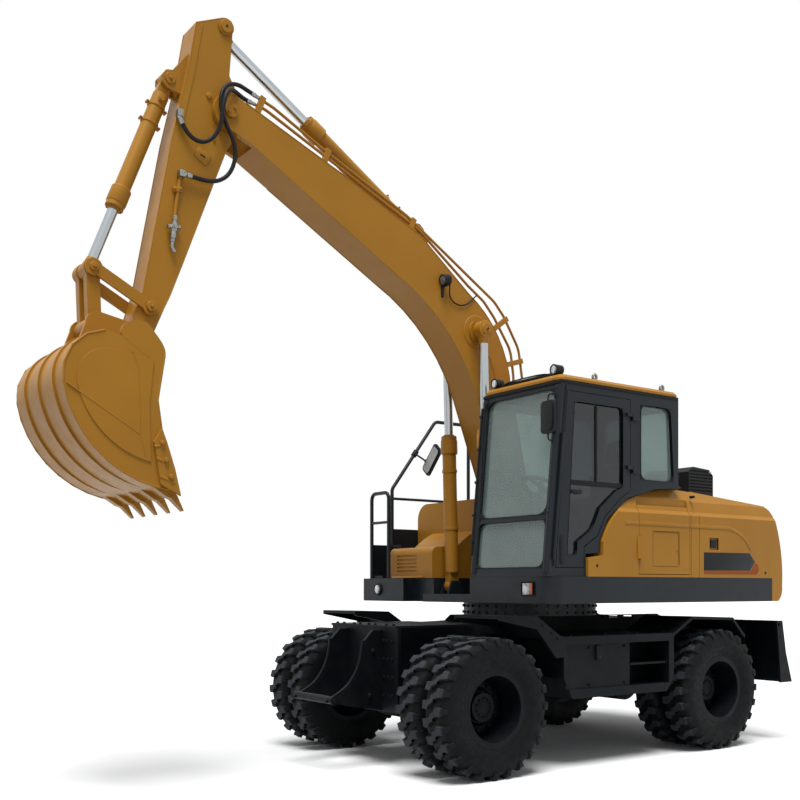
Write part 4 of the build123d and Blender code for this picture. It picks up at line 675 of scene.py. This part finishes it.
for x, y, z, radius in bowls:
    lathe([(-0.6, 0), (-0.6, radius), (0.6, radius), (0.2, 0)], at(x, y, z), 40, X)
piece("lamp_reflectors", "reflector", "upper")
# Bright rings on the roof's lifting eyes.
for x in (365, -425):
    for y in (404, 1146):
        lathe([(-8, 12.5), (-8, 27), (-5, 29.5), (5, 29.5), (8, 27), (8, 12.5)], at(x, y, 3043),
              32, Y)
piece("lifting_rings", "zinc", "upper")

# ---- cab
CAB_RIGHT, CAB_LEFT = 325, 1225
POSTS = (CAB_LEFT - 30, CAB_RIGHT + 30)
FRONT_SLOPE = 145 / 1490
POST_TOP, GUTTER_Z = 2925, 2948


def front_x(z):
    """Where the cab's sloping front face is at this height."""
    return 945 - FRONT_SLOPE * (z - 1475)


def by_front(gap, y, z):
    """A point this far in front of the cab's sloping face."""
    return at(front_x(z) + gap, y, z)


lean = Vector((1, 0, FRONT_SLOPE)).normalized()
for z0, z1, width, rounding in ((1545, 1905, 22, 70), (1945, 2900, 26, 95)):
    opening = rectangle(CAB_RIGHT + 58, z0, CAB_LEFT - 58, z1)
    surround([by_front(-16, y, z) for y, z in opening], lean * 0.023, width, rounding)
QUARTER_WINDOW = [(-480, 2260), (-440, 2860), (-80, 2860), (-80, 2260)]
surround(on_side(CAB_LEFT - 23, QUARTER_WINDOW), Y * 0.027, 22, 65)
RIGHT_WINDOW = [(-480, 1900), (-440, 2860), (720, 2860), (800, 1900)]
surround(on_side(CAB_RIGHT + 23, RIGHT_WINDOW), -Y * 0.026, 24, 80)
REAR_WINDOW = rectangle(415, 2280, 1135, 2860)
surround(on_front(-524, REAR_WINDOW), -X * 0.019, 24, 70)
piece("window_seals", "seal_and_hole_shade", "upper", round_mm=1.5)
DOOR_WINDOW = [(130, 2180), (130, 2810), (665, 2810), (745, 1640), (640, 1640), (640, 1740),
               (470, 1850), (390, 2010), (200, 2160)]
surround(on_side(CAB_LEFT - 17, DOOR_WINDOW), Y * 0.0195, 17, 34)
block(at(135, CAB_LEFT - 19, 2176), at(700, CAB_LEFT - 5, 2212))
block(at(408, CAB_LEFT - 17, 2205), at(426, CAB_LEFT - 9, 2800))
piece("door_seals", "seal_and_hole_shade", "cab_door", round_mm=1.5)
# The door's handle, and the recessed grip by its front edge.
block(at(600, CAB_LEFT + 1, 2110), at(700, CAB_LEFT + 13, 2136))
bar(at(612, CAB_LEFT, 2123), at(612, CAB_LEFT + 9, 2123), 20)
for low, high, inset in ((1560, 1790, 0), (1572, 1778, 9)):
    plate(on_side(CAB_LEFT - 1, rectangle(758 + inset, low, 824 - inset, high)),
          Y * (0.004 + inset * 0.0004), 32 - inset)
piece("door_handle", "abs", "cab_door", round_mm=1.5)

# The rounded corner posts and their bolts.
for y in POSTS:
    bar(by_front(-13, y, 1500), by_front(-13, y, POST_TOP), 32, sides=48)
for z in (1960, 2900):
    for y in POSTS:
        bolt(by_front(18, y, z), lean, 14)
piece("cab_posts", "slate", "upper")
# Rubber strips beside the corner posts, and the gutter under the roof's edge.
for y in (CAB_LEFT - 60, CAB_RIGHT + 60):
    bar(by_front(0, y, 1510), by_front(0, y, POST_TOP), 6, sides=12)
bar(at(front_x(1510) - 50, CAB_LEFT + 1, 1550), by_front(-50, CAB_LEFT + 1, POST_TOP), 7, sides=12)
bar(by_front(2, CAB_RIGHT + 6, GUTTER_Z), by_front(2, CAB_LEFT - 6, GUTTER_Z), 15)
bar(by_front(-16, CAB_LEFT - 2, GUTTER_Z), at(-520, CAB_LEFT - 2, GUTTER_Z), 11)
bar(at(-528, CAB_LEFT - 16, GUTTER_Z), at(-528, CAB_RIGHT + 16, GUTTER_Z), 11)
piece("roof_gutter", "seal_and_hole_shade", "upper")
block(at(front_x(2870) - 4, 352, 2850), at(front_x(2870) + 26, 384, 2900))
wiper_pipe = ((24, 368, 2880), (22, 372, 2600), (16, 380, 2300), (12, 388, 2150))
tube([by_front(*place) for place in wiper_pipe], 6)
bar(by_front(7, 392, 2640), by_front(7, 396, 2020), 5, sides=12)
bar(by_front(17, 379, 2330), by_front(8, 393, 2330), 7, sides=16)
tube([by_front(24, 338, z) for z in (2860, 2500, 2200, 1900, 1650)], 8)
for z in (2790, 2520, 2250, 1980, 1760):
    block(at(front_x(z) + 4, 324, z - 12), at(front_x(z) + 36, 350, z + 12))
piece("wiper_and_wiring", "abs", "upper", round_mm=1)


def right_mirror(x, half_length, half_width):
    """The right mirror's outline, tilted on its arm."""
    tilt = radians(48)
    return [at(x, -975 + cos(tilt) * a - sin(tilt) * b, 2605 + sin(tilt) * a + cos(tilt) * b)
            for a, b in rectangle(-half_length, -half_width, half_length, half_width)]


# Mirror heads, arms and clamps: on the front left post and on the right handrail.
plate(on_front(871, rectangle(1088, 2553, 1237, 2802)), X * 0.018, 34)
plate(on_front(888, rectangle(1104, 2572, 1221, 2783)), X * 0.013, 40)
for z, foot_z in ((2560, 2500), (2795, 2850)):
    tube([by_front(4, POSTS[0], foot_z), by_front(46, CAB_LEFT - 32, foot_z),
          at(888, 1180, foot_z), at(884, 1163, (z + foot_z) / 2), at(882, 1163, z)], 7)
    foot = by_front(8, POSTS[0], foot_z)
    bar(foot - Z * 0.02, foot + Z * 0.02, 20)
plate(right_mirror(341, 154, 69), X * 0.016, 34)
plate(right_mirror(356, 138, 54), X * 0.01, 30)
rail, clamp = Vector((-520, 0, 690)).normalized(), at(369.2, -1222, 2689.4)
bar(clamp - rail * 0.03, clamp + rail * 0.03, 27)
for step in (-0.02, 0.02):
    bolt(clamp + rail * step + Y * 0.024, Y, 14)
bar(clamp, at(355, -1060, 2600), 9)
lathe([(-20, 0), (-14, 14), (0, 20), (14, 14), (20, 0)], at(354, -1060, 2600), 24, Y)
piece("mirror_heads", "abs", "upper", round_mm=2, stands_for=("mirrors",))
plate(right_mirror(366, 132, 48), X * 0.002, 26)
piece("right_mirror_back", "zinc", "upper", round_mm=0.5)
plate(on_front(869.5, rectangle(1096, 2562, 1229, 2793)), -X * 0.0015, 28)
plate(right_mirror(339.5, 146, 61), -X * 0.0015, 30)
piece("mirror_glasses", "mirror", "upper")

# ---- seat and controls
def cushion(low, high, crown_mm, pinch_mm, cuts=10):
    """A padded block: its faces crown and its sides pull in between the corners."""
    middle, half = (low + high) / 2, (high - low) / 2
    made = bmesh.ops.create_cube(bm, size=2)
    block_edges = list({edge for vert in made["verts"] for edge in vert.link_edges})
    first = len(bm.verts) - 8
    bmesh.ops.subdivide_edges(bm, edges=block_edges, cuts=cuts, use_grid_fill=True)
    bm.verts.ensure_lookup_table()
    for vert in bm.verts[first:]:
        u, place = vert.co.copy(), middle.copy()
        for i in range(3):
            a, b = u[(i + 1) % 3] ** 2, u[(i + 2) % 3] ** 2
            place[i] += u[i] * (1 - 0.08 * (a + b)) * half[i]
            if abs(u[i]) > 0.99:
                place[i] += u[i] * (1 - a) * (crown_mm * (1 - b) - 0.4 * pinch_mm) * MM
        vert.co = place


SEAT_BACK = Matrix.Rotation(radians(-11), 4, "Y")
cushions = (
    ("seat_cushion", (-120, 545, 1850), (340, 995, 1955), 14, None),
    ("seat_back", (-235, 545, 1960), (-125, 995, 2440), 12, SEAT_BACK),
    ("head_rest", (-240, 655, 2455), (-150, 885, 2660), 10, SEAT_BACK),
    ("arm_rest_left", (-110, 1018, 2045), (330, 1078, 2105), 5, None),
    ("arm_rest_right", (-110, 442, 2045), (330, 502, 2105), 5, None))
for name, low, high, crown, turn in cushions:
    cushion(at(*low), at(*high), crown, 6)
    if turn:
        foot = at(-150, 0, 1950)
        bmesh.ops.rotate(bm, verts=bm.verts, cent=foot, matrix=turn)
    made = piece(name, "cloth", "upper", sharp=60,
                 stands_for=("seat",) if name == "seat_cushion" else ())
block(at(-120, 570, 1522), at(300, 970, 1560))
for step in range(5):
    block(at(-40 + 6 * (step % 2), 640, 1562 + 52 * step),
          at(220 - 6 * (step % 2), 900, 1610 + 52 * step))
block(at(-140, 560, 1822), at(320, 980, 1850))
for y in (472, 1048):
    block(at(-110, y - 22, 1880), at(20, y + 22, 2046))
    block(at(-110, min(y, 770), 1878), at(20, max(y, 770), 1898))
piece("seat_frame", "abs", "upper", round_mm=6)
for y in (472, 1048):
    lathe([(0, 26), (16, 24), (28, 14), (40, 8), (90, 8), (104, 20), (150, 24), (176, 20),
           (184, 0)], at(300, y, 2100), 32, Z)
block(at(690, 345, 2330), at(716, 440, 2480))
piece("levers_and_display", "abs", "upper", round_mm=1)

# ---- pins, glands and ports
# The pins' end plates: body, x, y, z, radius and number of bolts.
PIN_CAPS = [
    ("arm", 3020, 169, 4790, 52, 2), ("arm", 3040, 126, 5400, 46, 0),
    ("boom_rods", 745, 286, 3540, 46, 1), ("upper", 150, 196, 1800, 62, 3),
    ("arm", 3440, 65, 4940, 40, 1), ("boom", 1300, 72, 4300, 40, 1),
    ("arm", 3610, 147, 3305, 36, 1), ("arm", 3690, 176, 3075, 40, 2),
    ("guide_links", 4004, 143, 3509, 30, 1)]
for index, (body, x, y, z, radius, bolts) in enumerate(PIN_CAPS):
    for hand in (1, -1):
        pin_cap(x, y, z, radius, hand, bolts)
    piece(f"pin_cap_{body}_{index}", "yellow", body)
# Cylinders: rod, barrel, foot, pin, middle y's, radii of eye, rod and barrel, barrel's length.
CYLINDERS = [
    ("boom_rods", "boom_barrels", (686, 1406), (745, 3540), (245, -245), 73, 38, 60, 1300),
    ("arm_rod", "arm_barrel", (1300, 4300), (3040, 5400), (0,), 63, 38, 62, 1200),
    ("bucket_rod", "bucket_barrel", (3440, 4940), (4004, 3509), (0,), 55, 36, 56, 1040)]


def cylinder_line(foot, pin, y):
    """A cylinder's foot, its rod's eye and the direction from one to the other."""
    start, end = on_side(y, (foot, pin))
    return start, end, (end - start).normalized()


# Painted eyes and necks over the ends of the chromed rods.
for body, _, foot, pin, middles, radius, rod, _, _ in CYLINDERS:
    for y in middles:
        _, eye, run = cylinder_line(foot, pin, y)
        lathe([(-42, 0), (-42, radius - 2), (-40.4, radius + 1), (40.4, radius + 1),
               (42, radius - 2), (42, 0)], eye, 48, Y)
        bar(eye - run * (radius + 42) * MM, eye - run * radius * 0.6 * MM, rod + 1, rod + 14, 32)
    piece(f"rod_eyes_{body}", "yellow", body)
for _, body, foot, pin, middles, _, rod, barrel, length in CYLINDERS:
    for y in middles:
        start, _, run = cylinder_line(foot, pin, y)
        head = start + run * length * MM
        # The collar, the bolted head and the gland round the rod.
        lathe([(-156, barrel - 2), (-152, barrel + 9), (-146, barrel + 13), (-38, barrel + 13),
               (-32, barrel + 10), (-32, barrel + 8), (-3, barrel + 8), (1, barrel + 5),
               (1, barrel - 10), (16, barrel - 13), (16, rod + 0.6), (-6, rod + 0.6),
               (-6, barrel - 2)], head, 56, run)
        side = run.cross(Y).normalized()
        for aim in spokes(8, run, side):
            bolt(head + aim * (barrel - 3) * MM + run * 0.001, run, 11)
        if body == "boom_barrels":
            # The oil pipe along the barrel, on two clamps.
            out = (Y if y >= 0 else -Y) * 0.5 + side * 0.87
            route = [(length - 60, 60), (length - 60, 84), (length - 120, 92), (length - 600, 88),
                     (length - 900, 84), (260, 82), (205, 80), (200, 58)]
            tube([start + run * along * MM + out * reach * MM for along, reach in route], 9)
            for along in (length - 300, length - 800):
                seat = start + run * along * MM
                lathe([(-12, 58), (-12, 66), (12, 66), (12, 58)], seat, 40, run)
                middle, half = seat + out * 0.082, Vector((0.014, 0.014, 0.014))
                block(middle - half, middle + half)
        else:
            # Band clamps with their bolted ears, and the port block by the foot.
            for along in (215, 350):
                seat = start + run * along * MM
                lathe([(-11, barrel - 2), (-11, barrel + 6), (11, barrel + 6), (11, barrel - 2)],
                      seat, 48, run)
                for hand in (1, -1):
                    ear = seat + side * hand * (barrel + 14) * MM
                    bar(ear - Y * 0.016, ear + Y * 0.016, 10, sides=20)
                    bolt(ear + Y * 0.016, Y, 12)
            if body == "bucket_barrel":
                port = start + run * 0.172 + Y * 0.062
                bar(port - Y * 0.02, port + Y * 0.012, 24, sides=6)
                bar(port + Y * 0.012, port + Y * 0.02, 17, sides=20)
    piece(f"glands_{body}", "yellow", body)
# Grease holes in the middles of the pins, as dark discs of painted shade.
for body, holes in {"arm": ((3040, 137, 5400), (3610, 158, 3305), (3690, 187, 3075)),
                    "boom_rods": ((745, 309, 3540),)}.items():
    for x, y, z in holes:
        for hand in (1, -1):
            bar(at(x, hand * (y - 3), z), at(x, hand * (y + 1.5), z), 9)
    piece(f"grease_hole_shade_{body}", "seal_and_hole_shade", body)

# ---- weld beads and bucket trim
BOOM_TOP = [
    (240, 2620), (359, 3104), (375, 3217), (405, 3328), (448, 3434), (503, 3535), (570, 3628),
    (648, 3712), (735, 3786), (830, 3850), (1330, 4235), (2030, 4540), (2900, 4880)]
BOOM_LOW = [(2560, 4432), (1560, 3877), (1413, 3798), (1274, 3704), (1146, 3597), (1029, 3477),
            (925, 3346), (835, 3205), (760, 3056), (700, 2900), (420, 2180)]
BOOM_SIDE, ARM_SIDE = 156, 110
for edge in (BOOM_TOP, BOOM_LOW):
    bead(edge, BOOM_SIDE)
for hand in (1, -1):
    # The doubling plate round the cylinders' pin, and the rib that runs down from it.
    lathe([(-1, 80), (-1, 138), (3, 138), (7, 132), (7, 80)],
          at(745, hand * (BOOM_SIDE + 1), 3540), 56, Y * hand)
    seam([(660, 3430), (600, 3340), (550, 3230), (515, 3110), (490, 2980)],
         hand * (BOOM_SIDE + 1))
piece("boom_welds", "yellow", "boom")
ARM_FRONT = [(3265, 5370), (3333, 4989), (3446, 4509), (3655, 3420), (3750, 3135)]
ARM_BACK = [(3615, 3085), (3463, 3408), (3357, 3677), (3033, 4524), (2950, 4640)]
ARM_HEAD = [(2990, 5446), (3060, 5459), (3262, 5367)]
for edge in (ARM_FRONT, ARM_BACK, ARM_HEAD):
    bead(edge, ARM_SIDE, 3.5)
# The doublers that run down from the head.
DOUBLER = ((3215, 5365), (3255, 5345), (3318, 4990), (3395, 4660), (3360, 4655), (3285, 4985))
for hand in (1, -1):
    plate(on_side(hand * (ARM_SIDE + 1), DOUBLER), Y * hand * 0.006)
piece("arm_welds", "yellow", "arm")
BUCKET_RIM = [
    (3615, 2027), (3728, 2042), (3838, 2074), (3941, 2122), (4037, 2185), (4122, 2261),
    (4195, 2349), (4253, 2447), (4297, 2552), (4323, 2663), (4317, 2784), (4266, 2893),
    (4175, 2972), (4060, 3010)]
bead(BUCKET_RIM, 499, 6)
bead([(3664, 2900), (3713, 2605), (3690, 2450)], 494, 9)
for hand in (1, -1):
    for x, z in ((3632, 2110), (3665, 2215), (3690, 2325)):
        bolt(at(x, hand * 522, z), Y * hand, 28)
for tooth in range(5):
    y = 220 * (tooth - 2)
    bar(at(3612, y - 42, 2014), at(3612, y + 42, 2014), 11)
    for side in (-1, 1):
        bar(at(3700, y + side * 37, 2072), at(3764, y + side * 37, 2098), 6, sides=10)
# The side plates' lobes by the pin, their seams, and the cutters' cast ribs.
LOBE = [(3956, 2990), (3956, 3044), (3915, 3084), (3849, 3107), (3778, 3093), (3722, 3030),
        (3676, 2972), (3655, 2920), (3700, 2700), (3760, 2860), (3860, 2930)]
for hand in (1, -1):
    plate(on_side(hand * 472, LOBE), Y * hand * 0.0285, 24)
    for line in (((4303, 2651), (3834, 2374), (3800, 2240)),
                 ((3882, 2894), (3846, 2806), (3834, 2374))):
        seam(line, hand * 505)
    for low, high in (((3745, 2300), (3672, 2312)), ((3728, 2225), (3640, 2190)),
                      ((3705, 2110), (3600, 2070))):
        bar(*on_side(hand * 519, (low, high)), 10, 6, sides=16)
# The top plate's beads between the ears.
bead([(3820, 2958), (4050, 3008)], 136, 6)
bar(at(4075, -480, 3006), at(4075, 480, 3006), 7, sides=12)
piece("bucket_trim", "yellow", "bucket")

# ---- boom and arm fittings
# The hoses' fittings: piece, body, places with runs, and bars: ends, radii and sides.
HOSE_FITTINGS = [
    ("hose_unions", "boom", ((2850, 130, 4908, 120, 20), (2813, 130, 4967, 156, 50)),
     ((-34, -6, 15, 15, 6), (-4, 30, 16, 16, 24))),
    ("hose_ends", "arm", ((3400, 146, 4640, 25, 52), (3352, 146, 4262, 62, 6)),
     ((-36, -1, 19, 17.5, 24), (2, 20, 17, 17, 6)))]
for name, body, ends, bars in HOSE_FITTINGS:
    for x, y, z, run_x, run_z in ends:
        place, run = at(x, y, z), Vector((run_x, 0, run_z)).normalized()
        for low, high, radius, far, sides in bars:
            bar(place + run * low * MM, place + run * high * MM, radius, far, sides)
    piece(name, "zinc", body, round_mm=0.8)
HOSES = {
    "hose_upper": [(2813.4, 130, 4967.1), (2875, 130, 4986.9), (2965, 152, 5000),
                   (3060, 170, 4965), (3108, 178, 4880), (3112, 180, 4789), (3075, 181, 4683),
                   (3014, 180, 4583), (2988, 172, 4491), (3003, 164, 4398), (3045, 156, 4320),
                   (3118, 150, 4268), (3200, 146, 4252), (3290, 146, 4256), (3352, 146, 4262)],
    "hose_lower": [(2850.4, 130, 4908.1), (2905, 130, 4917.2), (2975, 158, 4934),
                   (3050, 210, 4920), (3096, 229, 4860), (3117, 230, 4770), (3120, 216, 4672),
                   (3142, 196, 4592), (3192, 176, 4530), (3258, 160, 4506), (3325, 150, 4530),
                   (3375, 146, 4588), (3400, 146, 4640)]}
HOSE_RADIUS, CABLE_RADIUS = 15, 6


def rubber_cord(name, route, radius_mm):
    """A rubber cord along a spline, as a tube mesh in the hose finish."""
    places = [at(*point) for point in route]
    centreline = spline_mesh(places)
    bpy.data.meshes.remove(centreline)
    tube(places, radius_mm, steps=12)
    bmesh.ops.recalc_face_normals(bm, faces=bm.faces)
    mesh = finished_mesh(name)
    mesh.shade_smooth()
    mesh.materials.append(SLOTS["hose"][0])
    cord = new_object(name, mesh)
    return cord


for name, route in HOSES.items():
    hose = rubber_cord(name + "_braided", route, HOSE_RADIUS)
    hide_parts(name)
    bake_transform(hose)
# The work lamp's face and its cable.
aim = Vector((58, 0, -12)).normalized()
work_lamp = at(1140, 205, 3898)
lathe([(-1, 37), (-1, 44.5), (6, 45), (8, 40), (2, 37)], work_lamp, 40, aim)
piece("boom_lamp_bezel", "abs", "boom")
lathe([(0.5, 38), (4, 34), (8, 20), (9, 0)], work_lamp, 40, aim)
piece("boom_lamp_lens", "lens", "boom")
LAMP_CABLE = [
    (1084, 205, 3905), (1066, 203, 3890), (1058, 190, 3850), (1050, 176, 3795), (1012, 170, 3748),
    (926, 168, 3726), (842, 168, 3758), (790, 166, 3810), (752, 164, 3842)]
lamp_cable = rubber_cord("boom_lamp_cable", LAMP_CABLE, CABLE_RADIUS)
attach(lamp_cable, "boom")
# The arm's side: a lozenge plate, its slot in painted shade, a boss, the pipe and the check valve.
LOZENGE = ((3287, 4428), (3247, 4495), (3151, 4444), (3199, 4368))
plate(on_side(ARM_SIDE + 1, LOZENGE), Y * 0.008, 8)
lathe([(-1, 0), (-1, 24), (12, 20), (14, 0)], at(3169, ARM_SIDE + 2, 4873), 32, Y)
bar(at(3130, 116, 4610), at(3130, 116, 4560), 9, sides=16)
tube(on_side(130, ((3396, 4240), (3399, 4200), (3417, 4124), (3436, 3945))), 12)
plate(on_side(ARM_SIDE + 2, ((3390, 4172), (3450, 4164), (3444, 4128), (3384, 4136))), Y * 0.032,
      5)
for x, z in ((3396, 4154), (3440, 4147)):
    bolt(at(x, 144, z), Y, 13)
piece("arm_plates", "yellow", "arm", round_mm=1)
# The slot is a thin black plate of painted shade.
plate(on_side(118, ((3206, 4422), (3240, 4436), (3236, 4446), (3202, 4432))), Y * 0.0025)
piece("arm_plate_slot_shade", "seal_and_hole_shade", "arm")
block(at(3385, ARM_SIDE + 2.3, 4655), at(3425, 166, 4700))
bar(at(3400.2, 146, 4640.4), at(3411, 146, 4662.9), 15, sides=6)
block(at(3370, ARM_SIDE + 2.3, 4238), at(3412, 166, 4282))
bar(at(3352.4, 146, 4262), at(3376, 146, 4264.3), 15, sides=6)
# The check valve from the top down: (x, z) ends, radius and sides.
VALVE = [
    ((3435, 3960), (3438, 3932), 18, 6), ((3438, 3934), (3441, 3905), 14, 24),
    ((3441, 3908), (3447, 3850), 25, 6), ((3447, 3852), (3453, 3800), 20, 24),
    ((3453, 3802), (3456, 3775), 17, 6), ((3456, 3777), (3462, 3742), 12, 24),
    ((3462, 3746), (3440, 3708), 12, 24), ((3449, 3723), (3440, 3708), 15, 6),
    ((3402, 3888), (3490, 3878), 13, 24), ((3402, 3888), (3416, 3886), 17, 6),
    ((3478, 3880), (3492, 3878), 17, 6)]
for low, high, radius, sides in VALVE:
    bar(*on_side(140, (low, high)), radius, sides=sides)
bar(at(3444, 140, 3880), at(3444, 172, 3880), 15, sides=6)
piece("check_valve", "zinc", "arm", round_mm=1.2, stands_for=("arm_fittings",))

# ---- camera, light and floor
CAMERA_PLACE, CAMERA_HEADING = (6356, 6877, 1390), -2.193
FOCAL_PX, IMAGE_PX, HORIZON_PX, SENSOR_MM = 1038, 800, 587.6, 36
camera = bpy.data.cameras.new("camera")
camera.sensor_width = SENSOR_MM
camera.lens = FOCAL_PX / IMAGE_PX * SENSOR_MM
camera.shift_y = (HORIZON_PX - IMAGE_PX / 2) / IMAGE_PX
camera.clip_end = 200
viewer = new_object("camera", camera)
viewer.location = at(*CAMERA_PLACE)
viewer.rotation_euler = (pi / 2, 0, CAMERA_HEADING - pi / 2)
bpy.context.scene.camera = viewer
bpy.context.scene.view_settings.view_transform = "Standard"


def sun_lamp(name, heading, elevation, softness, strength):
    """Soft parallel light from a heading and elevation in degrees, even over the whole floor."""
    lamp = bpy.data.lights.new(name, "SUN")
    lamp.energy, lamp.angle = strength, radians(softness)
    lit = new_object(name, lamp)
    lit.rotation_euler = (radians(90 - elevation), 0, radians(heading + 90))


sun_lamp("key", 50, 70, 30, 3.5)


def seen_rays(tree):
    """One where the camera, a reflection or a look through glass meets the surface."""
    path = add(tree, "LightPath")
    seen = add(tree, "Math", {0: path.outputs["Is Camera Ray"], 1: path.outputs["Is Glossy Ray"]},
               operation="MAXIMUM").outputs[0]
    return add(tree, "Math", {0: seen, 1: path.outputs["Is Transmission Ray"]},
               operation="MAXIMUM").outputs[0]


def backdrop(tree, lit_colour, lit_strength, output):
    """White where the camera and reflections see it, and plain soft light elsewhere."""
    seen = seen_rays(tree)
    plain = add(tree, "Background", {"Color": lit_colour, "Strength": lit_strength})
    white = add(tree, "Background", {"Color": "#FFFFFF", "Strength": 1.0})
    mixed = add(tree, "MixShader", {0: seen, 1: plain.outputs[0], 2: white.outputs[0]})
    tree.links.new(mixed.outputs[0], output.inputs["Surface"])


world = bpy.data.worlds.new("studio")
world.use_nodes = True
bpy.context.scene.world = world
world.node_tree.nodes.clear()
backdrop(world.node_tree, "#F2F5F8", 0.36, world.node_tree.nodes.new("ShaderNodeOutputWorld"))

bmesh.ops.create_grid(bm, x_segments=1, y_segments=1, size=90)
floor_mesh = finished_mesh("floor")
floor = new_object("floor", floor_mesh)
floor_look, floor_tree, floor_shader, floor_place = material("painted_studio_floor", Roughness=0.9)
speckle = mottle(floor_tree, floor_place, 300, 2, 0.3, 0.7)
pale_floor = add(floor_tree, "Mix", {0: speckle, 6: "#FAFAFA", 7: "#F7F7F7"}, data_type="RGBA")
coat(floor_tree, floor_shader, seen_rays(floor_tree), ("#A2A4A6", pale_floor.outputs[2]))
floor_mesh.materials.append(floor_look)
